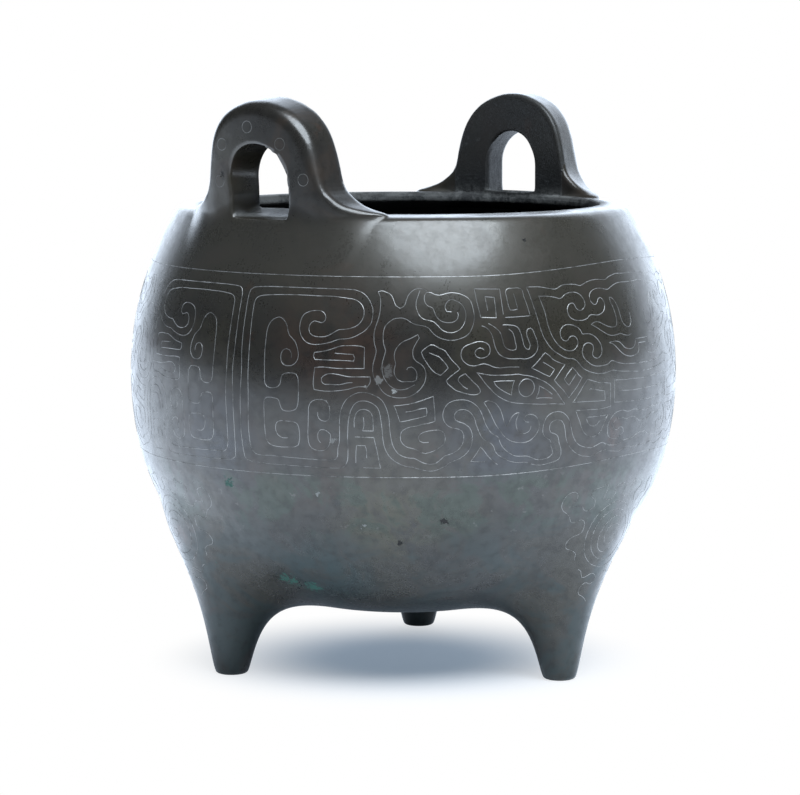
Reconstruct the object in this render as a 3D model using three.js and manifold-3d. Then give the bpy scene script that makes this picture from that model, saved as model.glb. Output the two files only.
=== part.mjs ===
import * as THREE from "three";
import { mergeVertices } from "three/addons/utils/BufferGeometryUtils.js";
import Module from "manifold-3d";

const wasm = await Module();
wasm.setup();

// Body of revolution, in millimetres from the surface it stands on
const bellyRadius = 65.5;
const bellyHeight = 70.7;
const shoulderDraw = 11.5;
const rimWidth = 7.4;
const rimHeight = 111.1;
const rimFall = 0.6;
const underside = 13.7;
const shoulderPowerShare = 2.04;
const lowerRadiusPowerShare = 2.7;
const lowerHeightPowerShare = 2.16;
const rimOuterRadius = bellyRadius - shoulderDraw;
const rimInnerRadius = rimOuterRadius - rimWidth;

// Hollow
const wall = 5.2;
const floorThickness = 5.6;
const lipDepth = 2.3;
const lipUndercut = 4.6;

// Legs and the swellings above them
const legInset = 20.5;
const footRadius = 3.45;
const footRounding = 0.7;
const legTopRadius = 10.2;
const legConeHeight = 74.3;
const legTaperShare = 0.58;
const swellingReach = 18;
const swellingFadeHeight = 33.4;
const swellingPush = 19.2;
const legJointHeight = 13;
const tenonRadius = 3;
const tenonLength = 7;
const tenonClearance = 0.3;
const legCount = 3;
const frontLegTurnShare = 0.75;
const legCircleRadius = bellyRadius - legInset;

// Loop handles let into the rim
const handleProud = 2;
const handleThickness = 9.2;
const handleHeight = 25;
const handleOuterHalfWidth = 15;
const handleInnerHalfWidth = 15.9;
const handleFootHalfWidth = 30;
const handleSeatDepth = 4.1;
const handleCurveShare = 0.4;
const handleFlatShare = 0.53;
const handleBlendShare = 0.8;
const seatClearance = 0.3;
const openingOuterHalfWidth = 8.15;
const openingInnerHalfWidth = 6.9;
const openingSpringing = 7.4;
const handleFace = rimOuterRadius + handleProud;

// Inlaid wire
const wireWidth = 0.4;
const wireThickness = 0.3;
const wireClearance = 0.15;
const grooveClearance = 0.08;
const wireStepShare = 0.063;
const upperBorderDrop = 13.35;
const lowerBorderDrop = 17.6;
const ringletRadius = 1.35;
const roundelRadius = 7.6;
const roundelHeightShare = 0.3667;
const frontNoseShare = 1.037;
const upperBorderHeight = rimHeight - upperBorderDrop;
const lowerBorderHeight = bellyHeight - lowerBorderDrop;
const roundelHeight = underside + roundelHeightShare * (bellyHeight - underside);

// Facets
const sectorFineSteps = 8;
const sectorCoarseSteps = 16;
const sectorFineShare = 0.1667;
const sweepRadiusShare = 0.8;
const bandRows = 6;
const collarRows = 3;
const cavityRows = 7;
const handleSteps = 24;
const legSides = 24;
const legRows = 4;
const ringletSides = 10;
const roundelSides = 18;
const pupilSides = 12;

// Cuts run this far past what they cut
const overrun = 1;

// Steps of the search for the surface
const marchStep = 2;
const gradientStep = 0.05;
const bisections = 20;

const legDegrees = Array.from(
  { length: legCount },
  (_, index) => 360 * (frontLegTurnShare + index / legCount),
);

const bronze = { color: 0x3b3833, roughness: 0.42, metalness: 0.75 };
const silver = { color: 0xb9bab4, roughness: 0.35, metalness: 0.9 };

function named(name, geometry, finish) {
  const mesh = new THREE.Mesh(geometry, new THREE.MeshStandardMaterial(finish));
  mesh.name = name;
  return mesh;
}

// Profile of the revolved body: a shoulder curve above the belly, a rounded base below it
function profileRadius(height) {
  const rimOuterHeight = rimHeight - rimFall;
  if (height > bellyHeight) {
    const rise = (height - bellyHeight) / (rimOuterHeight - bellyHeight);
    return bellyRadius - (bellyRadius - rimOuterRadius) * rise ** shoulderPowerShare;
  }
  const drop = (bellyHeight - height) / (bellyHeight - underside);
  const left = Math.max(0, 1 - drop ** lowerHeightPowerShare);
  return bellyRadius * left ** (1 / lowerRadiusPowerShare);
}

// Signed distance, near enough, to the revolved body below and above the belly
function revolvedField(radius, height) {
  if (height > bellyHeight) return radius - profileRadius(height);
  const depth = bellyHeight - underside;
  const drop = (bellyHeight - height) / depth;
  const radiusShare = radius / bellyRadius;
  const level = radiusShare ** lowerRadiusPowerShare + drop ** lowerHeightPowerShare - 1;
  const slopeOut =
    (lowerRadiusPowerShare * radiusShare ** (lowerRadiusPowerShare - 1)) / bellyRadius;
  const slopeDown = (lowerHeightPowerShare * drop ** (lowerHeightPowerShare - 1)) / depth;
  return level / Math.max(Math.hypot(slopeOut, slopeDown), 1 / (bellyRadius * bellyRadius));
}

function smoothUnion(first, second, reach) {
  const share = THREE.MathUtils.clamp(0.5 + (0.5 * (second - first)) / reach, 0, 1);
  return second * (1 - share) + first * share - reach * share * (1 - share);
}

// Body and legs as one cast form: negative inside, positive outside
function bodyField(point) {
  let field = revolvedField(Math.hypot(point.x, point.y), point.z);
  const fade = 1 - THREE.MathUtils.smoothstep(point.z, swellingFadeHeight, bellyHeight);
  if (fade === 0) return field;
  const coneShare = THREE.MathUtils.clamp(point.z / legConeHeight, 0, 1);
  const coneRadius = footRadius + (legTopRadius - footRadius) * coneShare ** legTaperShare;
  for (const degrees of legDegrees) {
    const angle = THREE.MathUtils.degToRad(degrees);
    const along = point.x * Math.cos(angle) + point.y * Math.sin(angle) - legCircleRadius;
    const across = point.y * Math.cos(angle) - point.x * Math.sin(angle);
    const leg = Math.hypot(along, across) - coneRadius + (1 - fade) * swellingPush;
    field = smoothUnion(field, leg, swellingReach * fade);
  }
  return field;
}

// First way out of the solid from a point inside it
function wayOut(origin, direction, field) {
  const probe = new THREE.Vector3();
  const at = (distance) => probe.copy(origin).addScaledVector(direction, distance);
  let far = marchStep;
  while (field(at(far)) < 0 && far < bellyRadius + rimHeight) far += marchStep;
  let near = far - marchStep;
  for (let pass = 0; pass < bisections; pass += 1) {
    const middle = (near + far) / 2;
    if (field(at(middle)) < 0) near = middle;
    else far = middle;
  }
  return at(near).clone();
}

function outward(angle) {
  return new THREE.Vector3(Math.cos(angle), Math.sin(angle), 0);
}

function surfacePoint(angle, height) {
  return wayOut(new THREE.Vector3(0, 0, height), outward(angle), bodyField);
}

function surfaceNormal(point) {
  const axes = ["x", "y", "z"];
  const slopes = axes.map((axis) => {
    const ahead = point.clone();
    const behind = point.clone();
    ahead[axis] += gradientStep;
    behind[axis] -= gradientStep;
    return bodyField(ahead) - bodyField(behind);
  });
  return new THREE.Vector3(...slopes).normalize();
}

// Angles round the body, closer together over each leg
function roundAngles() {
  const sector = 360 / legCount;
  const fine = sector * sectorFineShare;
  const coarse = sector - fine;
  const angles = [];
  for (const degrees of legDegrees) {
    const start = degrees - fine / 2;
    for (let step = 0; step < sectorFineSteps; step += 1) {
      angles.push(start + (step * fine) / sectorFineSteps);
    }
    for (let step = 0; step < sectorCoarseSteps; step += 1) {
      angles.push(start + fine + (step * coarse) / sectorCoarseSteps);
    }
  }
  return angles.map((degrees) => THREE.MathUtils.degToRad(degrees));
}

// Closed skin through rings of equal length, with a point at each end
function skinThrough(firstPole, rings, lastPole) {
  const count = rings[0].length;
  const points = [firstPole, ...rings.flat(), lastPole];
  const faces = [];
  for (let step = 0; step < count; step += 1) {
    const next = (step + 1) % count;
    faces.push(0, 1 + next, 1 + step);
    for (let row = 0; row + 1 < rings.length; row += 1) {
      const low = 1 + row * count;
      const high = low + count;
      faces.push(low + step, low + next, high + next);
      faces.push(low + step, high + next, high + step);
    }
    const top = 1 + (rings.length - 1) * count;
    faces.push(top + step, top + next, points.length - 1);
  }
  return indexed(points, faces);
}

function indexed(points, faces) {
  const geometry = new THREE.BufferGeometry();
  const flat = points.flatMap((point) => point.toArray());
  geometry.setAttribute("position", new THREE.Float32BufferAttribute(flat, 3));
  geometry.setIndex(faces);
  return geometry;
}

function solidFrom(geometry) {
  const bare = geometry.clone();
  bare.deleteAttribute("normal");
  bare.deleteAttribute("uv");
  const merged = mergeVertices(bare);
  return new wasm.Manifold(
    new wasm.Mesh({
      numProp: 3,
      vertProperties: new Float32Array(merged.attributes.position.array),
      triVerts: new Uint32Array(merged.index.array),
    }),
  );
}

function geometryFrom(solid) {
  const mesh = solid.getMesh();
  const geometry = new THREE.BufferGeometry();
  geometry.setAttribute("position", new THREE.BufferAttribute(mesh.vertProperties, 3));
  geometry.setIndex(new THREE.BufferAttribute(mesh.triVerts, 1));
  return geometry;
}

// Heights of the outer rows from the lowest upright row up to the rim, with both wire grooves
function uprightRows(lowest) {
  const rows = [];
  const addRun = (from, to, steps) => {
    for (let step = 1; step < steps; step += 1) {
      rows.push({ height: THREE.MathUtils.lerp(from, to, step / steps), inset: 0 });
    }
  };
  const addGroove = (height) => {
    const half = wireWidth / 2 + grooveClearance;
    const inset = wireThickness + grooveClearance;
    rows.push({ height: height - half, inset: 0 }, { height: height - half, inset });
    rows.push({ height: height + half, inset }, { height: height + half, inset: 0 });
  };
  rows.push({ height: lowest, inset: 0 });
  addGroove(lowerBorderHeight);
  addRun(lowerBorderHeight, upperBorderHeight, bandRows);
  addGroove(upperBorderHeight);
  addRun(upperBorderHeight, rimHeight - rimFall, collarRows);
  return rows;
}

// Shares of the swing from level to the middle of the underside, closest at the leg stubs
const swingShares = [
  0.05, 0.1, 0.15, 0.21, 0.28, 0.35, 0.41, 0.45, 0.52, 0.59, 0.65, 0.72, 0.81, 0.91,
];

// Rows inside the shoulder, as shares of the way from the lip down to the belly
const shoulderRowShares = [0, 0.35, 0.7];

// Bowl: swollen outer wall down to three leg stubs, hollow inside, pockets and sockets cut in
function makeBowl() {
  const angles = roundAngles();
  const sweepHeight = (bellyHeight + underside) / 2;
  const sweepRadius = legCircleRadius * sweepRadiusShare;
  const lowerField = (point) => Math.max(bodyField(point), legJointHeight - point.z);
  const lowerRings = swingShares.map((share) =>
    angles.map((angle) => {
      const origin = outward(angle).multiplyScalar(sweepRadius).setZ(sweepHeight);
      const last = -Math.PI / 2 - Math.atan2(sweepRadius, sweepHeight - underside);
      const direction = outward(angle).multiplyScalar(Math.cos(last * share));
      return wayOut(origin, direction.setZ(Math.sin(last * share)), lowerField);
    }),
  );
  lowerRings.reverse();
  const outerRings = uprightRows(sweepHeight).map((row) =>
    angles.map((angle) => {
      const point = surfacePoint(angle, row.height);
      return point.addScaledVector(outward(angle), -row.inset);
    }),
  );
  const ringAt = (radius, height) =>
    angles.map((angle) => outward(angle).multiplyScalar(radius).setZ(height));
  const rimRings = [
    ringAt(rimOuterRadius, rimHeight - rimFall),
    ringAt(rimInnerRadius, rimHeight),
    ringAt(rimInnerRadius, rimHeight - lipDepth),
  ];
  const cavityTop = rimHeight - lipDepth - lipUndercut;
  const shoulderRings = shoulderRowShares.map((share) => {
    const height = THREE.MathUtils.lerp(cavityTop, bellyHeight, share);
    return ringAt(profileRadius(height) - wall, height);
  });
  const cavityFloor = underside + floorThickness;
  const cavityRings = [];
  for (let row = 0; row < cavityRows; row += 1) {
    const angle = (row / cavityRows) * (Math.PI / 2);
    const radius = (bellyRadius - wall) * Math.cos(angle) ** (2 / lowerRadiusPowerShare);
    const depth = (bellyHeight - cavityFloor) * Math.sin(angle) ** (2 / lowerHeightPowerShare);
    cavityRings.push(ringAt(radius, bellyHeight - depth));
  }
  const skin = skinThrough(
    new THREE.Vector3(0, 0, underside),
    [...lowerRings, ...outerRings, ...rimRings, ...shoulderRings, ...cavityRings],
    new THREE.Vector3(0, 0, cavityFloor),
  );
  let bowl = solidFrom(skin);
  for (const degrees of legDegrees) {
    bowl = bowl.add(solidFrom(legStub(degrees)));
    bowl = bowl.subtract(solidFrom(legSocket(degrees)));
  }
  for (const side of [1, -1]) {
    bowl = bowl.subtract(solidFrom(handlePocket(side)));
  }
  return named("bowl", geometryFrom(bowl), bronze);
}

function handlePocket(side) {
  const halfWidth = handleFootHalfWidth + seatClearance;
  const inner = Math.sqrt(rimInnerRadius ** 2 - halfWidth ** 2) - overrun;
  const outer = handleFace + overrun;
  const floor = rimHeight - handleSeatDepth;
  return new THREE.BoxGeometry(
    outer - inner,
    2 * halfWidth,
    handleSeatDepth + overrun,
  ).translate((side * (outer + inner)) / 2, 0, floor + (handleSeatDepth + overrun) / 2);
}

function legSocket(degrees) {
  const depth = tenonLength + tenonClearance;
  const centre = outward(THREE.MathUtils.degToRad(degrees)).multiplyScalar(legCircleRadius);
  return new THREE.CylinderGeometry(
    tenonRadius + tenonClearance,
    tenonRadius + tenonClearance,
    depth + overrun,
    legSides,
  )
    .rotateX(Math.PI / 2)
    .translate(centre.x, centre.y, legJointHeight + (depth - overrun) / 2);
}

// Level section of the cast form round a leg's axis, no wider than the stub's reach
function legSection(degrees, height, shrink) {
  const angle = THREE.MathUtils.degToRad(degrees);
  const centre = outward(angle).multiplyScalar(legCircleRadius).setZ(height);
  const field = (point) => Math.max(bodyField(point), point.distanceTo(centre) - legTopRadius);
  return Array.from({ length: legSides }, (_, side) => {
    const direction = outward((side / legSides) * Math.PI * 2);
    return wayOut(centre, direction, field).addScaledVector(direction, -shrink);
  });
}

function legAxisPoint(degrees, height) {
  const direction = outward(THREE.MathUtils.degToRad(degrees));
  return direction.multiplyScalar(legCircleRadius).setZ(height);
}

// Stub that the bowl is cast with over each leg joint
function legStub(degrees) {
  const top = legJointHeight + floorThickness;
  const heights = [legJointHeight, (legJointHeight + top) / 2, top];
  return skinThrough(
    legAxisPoint(degrees, legJointHeight),
    heights.map((height) => legSection(degrees, height, 0)),
    legAxisPoint(degrees, top),
  );
}

// Leg: tapered foot whose sections follow the cast form, with a round tenon on top
function makeLeg(name, degrees) {
  const tenonAt = (height) =>
    Array.from({ length: legSides }, (_, side) => {
      const direction = outward((side / legSides) * Math.PI * 2);
      return legAxisPoint(degrees, height).addScaledVector(direction, tenonRadius);
    });
  const rings = [legSection(degrees, 0, footRounding), legSection(degrees, footRounding, 0)];
  for (let row = 1; row <= legRows; row += 1) {
    rings.push(legSection(degrees, (legJointHeight * row) / legRows, 0));
  }
  const tenonTop = legJointHeight + tenonLength;
  rings.push(tenonAt(legJointHeight), tenonAt(tenonTop));
  const skin = skinThrough(legAxisPoint(degrees, 0), rings, legAxisPoint(degrees, tenonTop));
  return named(name, skin, bronze);
}

// Outline of the handle as shares of its half width and height, from its top down one side
const archShares = [
  [0, 1],
  [0.17, 0.992],
  [0.32, 0.966],
  [0.46, 0.93],
  [0.58, 0.885],
  [0.73, 0.796],
  [0.84, 0.69],
  [0.93, 0.54],
  [1, 0.37],
  [1.045, 0.25],
];

const flareShares = [
  [0.2, 0.165],
  [0.32, 0.09],
  [0.5, 0.045],
  [0.75, 0.018],
  [1, 0.006],
];

// Outline of one side of the handle, from its top down to the tip of its foot
function handleSide(halfWidth) {
  const top = archShares.map(
    ([across, up]) => new THREE.Vector2(across * halfWidth, rimHeight + up * handleHeight),
  );
  const from = top[top.length - 1].x;
  const flare = flareShares.map(
    ([across, up]) =>
      new THREE.Vector2(
        THREE.MathUtils.lerp(from, handleFootHalfWidth, across),
        rimHeight + up * handleHeight,
      ),
  );
  return [...top, ...flare];
}

// Prism along X whose outline is drawn across Y and Z, wider at one end than at the other
function taperedPrism(outlineAt, side) {
  const near = handleFace - 2 * handleThickness;
  const far = handleFace + handleThickness;
  const ends = [near, far].map((reach) =>
    outlineAt(reach).map((flat) => new THREE.Vector3(side * reach, side * flat.x, flat.y)),
  );
  const middles = ends.map((end) => {
    const sum = end.reduce((total, point) => total.add(point), new THREE.Vector3());
    return sum.divideScalar(end.length).setY(0);
  });
  return skinThrough(middles[0], ends, middles[1]);
}

// Distance of a handle face from the bowl's axis plane at a place across it
function faceReach(across, height, isOuter) {
  const rimOuterHeight = rimHeight - rimFall;
  const ring = isOuter ? profileRadius(Math.min(height, rimOuterHeight)) : rimInnerRadius;
  const face = isOuter ? handleFace : handleFace - handleThickness;
  const ringReach = Math.sqrt(ring * ring - across * across);
  const sag = face - Math.sqrt(face * face - across * across);
  const flat = handleFootHalfWidth * handleFlatShare;
  const blended = handleFootHalfWidth * handleBlendShare;
  const follow = THREE.MathUtils.smoothstep(Math.abs(across), flat, blended);
  return THREE.MathUtils.lerp(face - handleCurveShare * sag, ringReach, follow);
}

// Block between the handle's inner and outer faces, from its seat to past its top
function faceBlock(side) {
  const seat = rimHeight - handleSeatDepth;
  const top = rimHeight + handleHeight + overrun;
  const heights = [seat, rimHeight - rimFall, top];
  const columns = Array.from({ length: handleSteps + 1 }, (_, step) => {
    const across = handleFootHalfWidth * (1 - (2 * step) / handleSteps);
    const outer = heights.map(
      (height) => new THREE.Vector3(side * faceReach(across, height, true), side * across, height),
    );
    const inner = heights.map(
      (height) => new THREE.Vector3(side * faceReach(across, height, false), side * across, height),
    );
    return [...outer, ...inner.reverse()];
  });
  const middleOf = (column) => {
    const sum = column.reduce((total, point) => total.add(point), new THREE.Vector3());
    return sum.divideScalar(column.length);
  };
  const last = columns[columns.length - 1];
  return skinThrough(middleOf(columns[0]), columns, middleOf(last));
}

// Handle: an arch with a bar across its foot that fills the pocket in the rim
function makeHandle(name, side) {
  const seat = rimHeight - handleSeatDepth;
  const taperAt = (reach, outer, inner) => {
    const share = (handleFace - reach) / handleThickness;
    return THREE.MathUtils.lerp(outer, inner, share);
  };
  const outlineAt = (reach) => {
    const half = handleSide(taperAt(reach, handleOuterHalfWidth, handleInnerHalfWidth));
    const foot = new THREE.Vector2(handleFootHalfWidth + overrun, seat);
    const tip = new THREE.Vector2(foot.x, half[half.length - 1].y);
    const right = [foot, tip, ...half.slice().reverse()];
    const left = right.slice(0, -1).reverse();
    return [...right, ...left.map((point) => new THREE.Vector2(-point.x, point.y))];
  };
  const openingAt = (reach) => {
    const half = taperAt(reach, openingOuterHalfWidth, openingInnerHalfWidth);
    const sill = rimHeight - taperAt(reach, rimFall, 0);
    const points = [new THREE.Vector2(half, sill)];
    for (let step = 0; step <= legSides / 2; step += 1) {
      const angle = (step / (legSides / 2)) * Math.PI;
      const up = rimHeight + openingSpringing + openingOuterHalfWidth * Math.sin(angle);
      points.push(new THREE.Vector2(half * Math.cos(angle), up));
    }
    points.push(new THREE.Vector2(-half, sill));
    return points;
  };
  const arch = solidFrom(taperedPrism(outlineAt, side));
  const opening = solidFrom(taperedPrism(openingAt, side));
  const handle = arch.subtract(opening).intersect(solidFrom(faceBlock(side)));
  return named(name, geometryFrom(handle), bronze);
}

// Ring of wire in its turned groove
function makeBorder(name, height) {
  const angles = roundAngles();
  const corner = (angle, inset, rise) => {
    const point = surfacePoint(angle, height + rise);
    return point.addScaledVector(outward(angle), -inset);
  };
  const sections = angles.map((angle) => [
    corner(angle, wireThickness, -wireWidth / 2),
    corner(angle, 0, -wireWidth / 2),
    corner(angle, 0, wireWidth / 2),
    corner(angle, wireThickness, wireWidth / 2),
  ]);
  return named(name, sweptSkin(sections, true), silver);
}

// Skin round a run of four-cornered sections, joined end to end or capped
function sweptSkin(sections, isClosed) {
  const corners = sections[0].length;
  const points = sections.flat();
  const faces = [];
  const runs = isClosed ? sections.length : sections.length - 1;
  for (let step = 0; step < runs; step += 1) {
    const here = step * corners;
    const there = ((step + 1) % sections.length) * corners;
    for (let corner = 0; corner < corners; corner += 1) {
      const next = (corner + 1) % corners;
      faces.push(here + corner, there + corner, there + next);
      faces.push(here + corner, there + next, here + next);
    }
  }
  if (!isClosed) {
    const end = (sections.length - 1) * corners;
    faces.push(0, 1, 2, 0, 2, 3);
    faces.push(end, end + 2, end + 1, end, end + 3, end + 2);
  }
  return indexed(points, faces);
}

// Wire laid along points on the wall, each given as an angle and a height
function wireAlong(places, isClosed) {
  const seats = places.map(({ angle, height }) => surfacePoint(angle, height));
  const count = seats.length;
  const sections = seats.map((seat, index) => {
    const normal = surfaceNormal(seat);
    const before = seats[isClosed ? (index + count - 1) % count : Math.max(index - 1, 0)];
    const after = seats[isClosed ? (index + 1) % count : Math.min(index + 1, count - 1)];
    const along = after.clone().sub(before).normalize();
    const across = new THREE.Vector3().crossVectors(normal, along);
    const corner = (sideways, lift) =>
      seat
        .clone()
        .addScaledVector(across, (sideways * wireWidth) / 2)
        .addScaledVector(normal, wireClearance + lift * wireThickness);
    return [corner(-1, 0), corner(-1, 1), corner(1, 1), corner(1, 0)];
  });
  return sweptSkin(sections, isClosed);
}

// Strokes of half a mask, from a handle's axis to the nose: shares of the way round to the
// nose, and of the height between the two border wires
const strokeShares = {
  frame_outer: {
    isClosed: false,
    points: [
      [0.253, 0.075],
      [0.227, 0.046],
      [0.048, 0.052],
      [0.017, 0.07],
      [0.01, 0.12],
      [0.01, 0.9],
      [0.017, 0.93],
      [0.048, 0.94],
      [0.26, 0.938],
      [0.294, 0.915],
      [0.309, 0.86],
      [0.306, 0.785],
      [0.292, 0.735],
      [0.27, 0.703],
      [0.236, 0.69],
      [0.193, 0.664],
      [0.16, 0.688],
      [0.148, 0.75],
      [0.156, 0.808],
      [0.178, 0.83],
      [0.201, 0.826],
    ],
  },
  frame_inner: {
    isClosed: false,
    points: [
      [0.235, 0.145],
      [0.23, 0.092],
      [0.058, 0.094],
      [0.034, 0.112],
      [0.03, 0.165],
      [0.028, 0.86],
      [0.035, 0.888],
      [0.053, 0.9],
      [0.251, 0.893],
      [0.283, 0.867],
      [0.291, 0.82],
      [0.282, 0.77],
      [0.26, 0.745],
      [0.231, 0.73],
      [0.193, 0.703],
      [0.172, 0.725],
      [0.172, 0.76],
      [0.193, 0.776],
    ],
  },
  eye: {
    isClosed: true,
    points: [
      [0.533, 0.527],
      [0.579, 0.513],
      [0.627, 0.508],
      [0.675, 0.482],
      [0.714, 0.43],
      [0.736, 0.35],
      [0.675, 0.355],
      [0.617, 0.364],
      [0.581, 0.4],
      [0.554, 0.455],
    ],
  },
  jaw: {
    isClosed: false,
    points: [
      [0.243, 0.34],
      [0.256, 0.4],
      [0.284, 0.43],
      [0.316, 0.415],
      [0.338, 0.37],
      [0.345, 0.3],
      [0.35, 0.2],
      [0.364, 0.13],
      [0.386, 0.104],
      [0.405, 0.098],
      [0.429, 0.075],
      [0.448, 0.083],
      [0.465, 0.112],
      [0.492, 0.138],
      [0.503, 0.19],
      [0.498, 0.235],
      [0.473, 0.258],
      [0.459, 0.3],
      [0.465, 0.355],
      [0.488, 0.391],
      [0.515, 0.385],
      [0.537, 0.34],
      [0.55, 0.265],
      [0.563, 0.215],
      [0.582, 0.19],
      [0.597, 0.125],
      [0.627, 0.095],
    ],
  },
  brow: {
    isClosed: false,
    points: [
      [0.665, 0.935],
      [0.674, 0.84],
      [0.681, 0.76],
      [0.69, 0.7],
      [0.711, 0.635],
      [0.741, 0.587],
      [0.769, 0.57],
      [0.789, 0.525],
      [0.82, 0.494],
      [0.868, 0.493],
      [0.95, 0.478],
    ],
  },
};
const pupilShares = { centre: [0.641, 0.435], radius: 0.045 };

// Places along a stroke of half a mask that spans the given angle, in steps of the wire's length
function laidOut(stroke, start, span) {
  const rise = upperBorderHeight - lowerBorderHeight;
  const riseShare = rise / (bellyRadius * (Math.PI / 2));
  const placeAt = ([across, up]) => ({
    angle: start + across * span,
    height: lowerBorderHeight + up * rise,
  });
  const places = [];
  const last = stroke.isClosed ? stroke.points.length : stroke.points.length - 1;
  for (let index = 0; index < last; index += 1) {
    const from = new THREE.Vector2(...stroke.points[index]);
    const to = new THREE.Vector2(...stroke.points[(index + 1) % stroke.points.length]);
    const reach = Math.hypot(to.x - from.x, (to.y - from.y) * riseShare);
    const steps = Math.ceil(reach / wireStepShare);
    for (let step = 0; step < steps; step += 1) {
      places.push(placeAt(from.clone().lerp(to, step / steps).toArray()));
    }
  }
  if (!stroke.isClosed) {
    places.push(placeAt(stroke.points[last]));
  }
  return places;
}

function pupilStroke() {
  const riseShare = (upperBorderHeight - lowerBorderHeight) / (bellyRadius * (Math.PI / 2));
  const [across, up] = pupilShares.centre;
  const points = Array.from({ length: pupilSides }, (_, side) => {
    const angle = (side / pupilSides) * Math.PI * 2;
    return [
      across + pupilShares.radius * riseShare * Math.cos(angle),
      up + pupilShares.radius * Math.sin(angle),
    ];
  });
  return { isClosed: true, points };
}

// Half masks run alternately forwards and backwards; the front nose lies a little past the middle
function makeBand() {
  const quarter = Math.PI / 2;
  const halves = [
    { name: "front_left", start: Math.PI, span: quarter * frontNoseShare },
    { name: "front_right", start: Math.PI * 2, span: quarter * (frontNoseShare - 2) },
    { name: "back_right", start: 0, span: quarter },
    { name: "back_left", start: Math.PI, span: -quarter },
  ];
  const strokes = { ...strokeShares, pupil: pupilStroke() };
  return halves.flatMap((half) =>
    Object.entries(strokes).map(([label, stroke]) => {
      const places = laidOut(stroke, half.start, half.span);
      return named(`wire_${label}_${half.name}`, wireAlong(places, stroke.isClosed), silver);
    }),
  );
}

// Rings of the whorl, as shares of its outer radius
const whorlRingShares = [0.25, 0.71, 1];

// Rings of the whorl above a leg, drawn on the swelling wall
function makeRoundel(label, degrees) {
  const axis = THREE.MathUtils.degToRad(degrees);
  const centre = surfacePoint(axis, roundelHeight);
  const normal = surfaceNormal(centre);
  const upShare = Math.hypot(normal.x, normal.y);
  const reach = Math.hypot(centre.x, centre.y);
  return whorlRingShares.map((share, index) => {
    const radius = roundelRadius * share;
    const places = Array.from({ length: roundelSides }, (_, side) => {
      const angle = (side / roundelSides) * Math.PI * 2;
      return {
        angle: axis + (radius * Math.cos(angle)) / reach,
        height: roundelHeight + radius * Math.sin(angle) * upShare,
      };
    });
    return named(`whorl_${label}_ring_${index + 1}`, wireAlong(places, true), silver);
  });
}

// Small wire circles on a handle's outer face: across and up as shares of the handle's size
const ringletShares = [
  [0, 0.775],
  [0.57, 0.62],
  [-0.57, 0.62],
  [0.79, 0.29],
  [-0.79, 0.29],
];

function makeRinglets(label, side) {
  return ringletShares.map(([acrossShare, upShare], index) => {
    const across = acrossShare * handleOuterHalfWidth;
    const up = rimHeight + upShare * handleHeight;
    const lean = Math.asin((handleCurveShare * across) / handleFace);
    const profile = [
      new THREE.Vector2(ringletRadius - wireWidth, 0),
      new THREE.Vector2(ringletRadius, 0),
      new THREE.Vector2(ringletRadius, wireThickness),
      new THREE.Vector2(ringletRadius - wireWidth, wireThickness),
      new THREE.Vector2(ringletRadius - wireWidth, 0),
    ];
    const geometry = new THREE.LatheGeometry(profile, ringletSides).rotateZ(-Math.PI / 2);
    const mesh = named(`ringlet_${label}_${index + 1}`, geometry, silver);
    mesh.rotation.z = lean + (side < 0 ? Math.PI : 0);
    const reach = faceReach(across, up, true) + wireClearance;
    mesh.position.set(side * reach, side * across, up);
    return mesh;
  });
}

const legLabels = ["front", "back_right", "back_left"];
const censer = new THREE.Group();
censer.add(makeBowl());
legDegrees.forEach((degrees, index) => {
  censer.add(makeLeg(`leg_${legLabels[index]}`, degrees));
  censer.add(...makeRoundel(legLabels[index], degrees));
});
censer.add(makeHandle("handle_right", 1), makeHandle("handle_left", -1));
censer.add(...makeRinglets("right", 1), ...makeRinglets("left", -1));
censer.add(makeBorder("border_wire_upper", upperBorderHeight));
censer.add(makeBorder("border_wire_lower", lowerBorderHeight));
censer.add(...makeBand());

export default censer;
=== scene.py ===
import math
import bpy
import bmesh
import numpy as np
from mathutils import Matrix, Vector


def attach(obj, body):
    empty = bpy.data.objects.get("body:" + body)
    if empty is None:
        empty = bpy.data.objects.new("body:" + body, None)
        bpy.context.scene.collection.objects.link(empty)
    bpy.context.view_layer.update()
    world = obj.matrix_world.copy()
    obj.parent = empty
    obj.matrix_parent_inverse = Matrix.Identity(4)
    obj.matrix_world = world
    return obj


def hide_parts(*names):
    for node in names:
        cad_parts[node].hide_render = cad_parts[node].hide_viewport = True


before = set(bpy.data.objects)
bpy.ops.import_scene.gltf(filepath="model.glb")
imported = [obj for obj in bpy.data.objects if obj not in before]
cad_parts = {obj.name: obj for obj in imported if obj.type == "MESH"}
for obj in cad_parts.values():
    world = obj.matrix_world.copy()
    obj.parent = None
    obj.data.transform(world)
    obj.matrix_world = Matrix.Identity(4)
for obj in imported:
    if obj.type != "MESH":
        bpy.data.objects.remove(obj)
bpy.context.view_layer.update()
scene = bpy.context.scene
print("frame loaded:", len(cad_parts), "nodes")

# All shapes are worked out in millimetres and brought to metres at the end
toMetres = Matrix.Scale(0.001, 4)

# Cast body: a round belly drawn in to a flat rim, on three short legs
bodyForm = {
    "bellyRadius": 65.5, "bellyHeight": 70.7, "underside": 13.7,
    "rimRadius": 54.0, "rimOuterHeight": 110.5, "rimHeight": 111.1,
    "mouthRadius": 46.6, "lipBottom": 108.8, "undercutBottom": 104.2,
    "wall": 5.2, "floorThickness": 5.6, "edgeRounding": 0.75,
    "shoulderPower": 2.04, "lowerRadiusPower": 2.7, "lowerHeightPower": 2.16, "pastRim": 1.1,
    "cavitySlope": 0.9,
}

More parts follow.
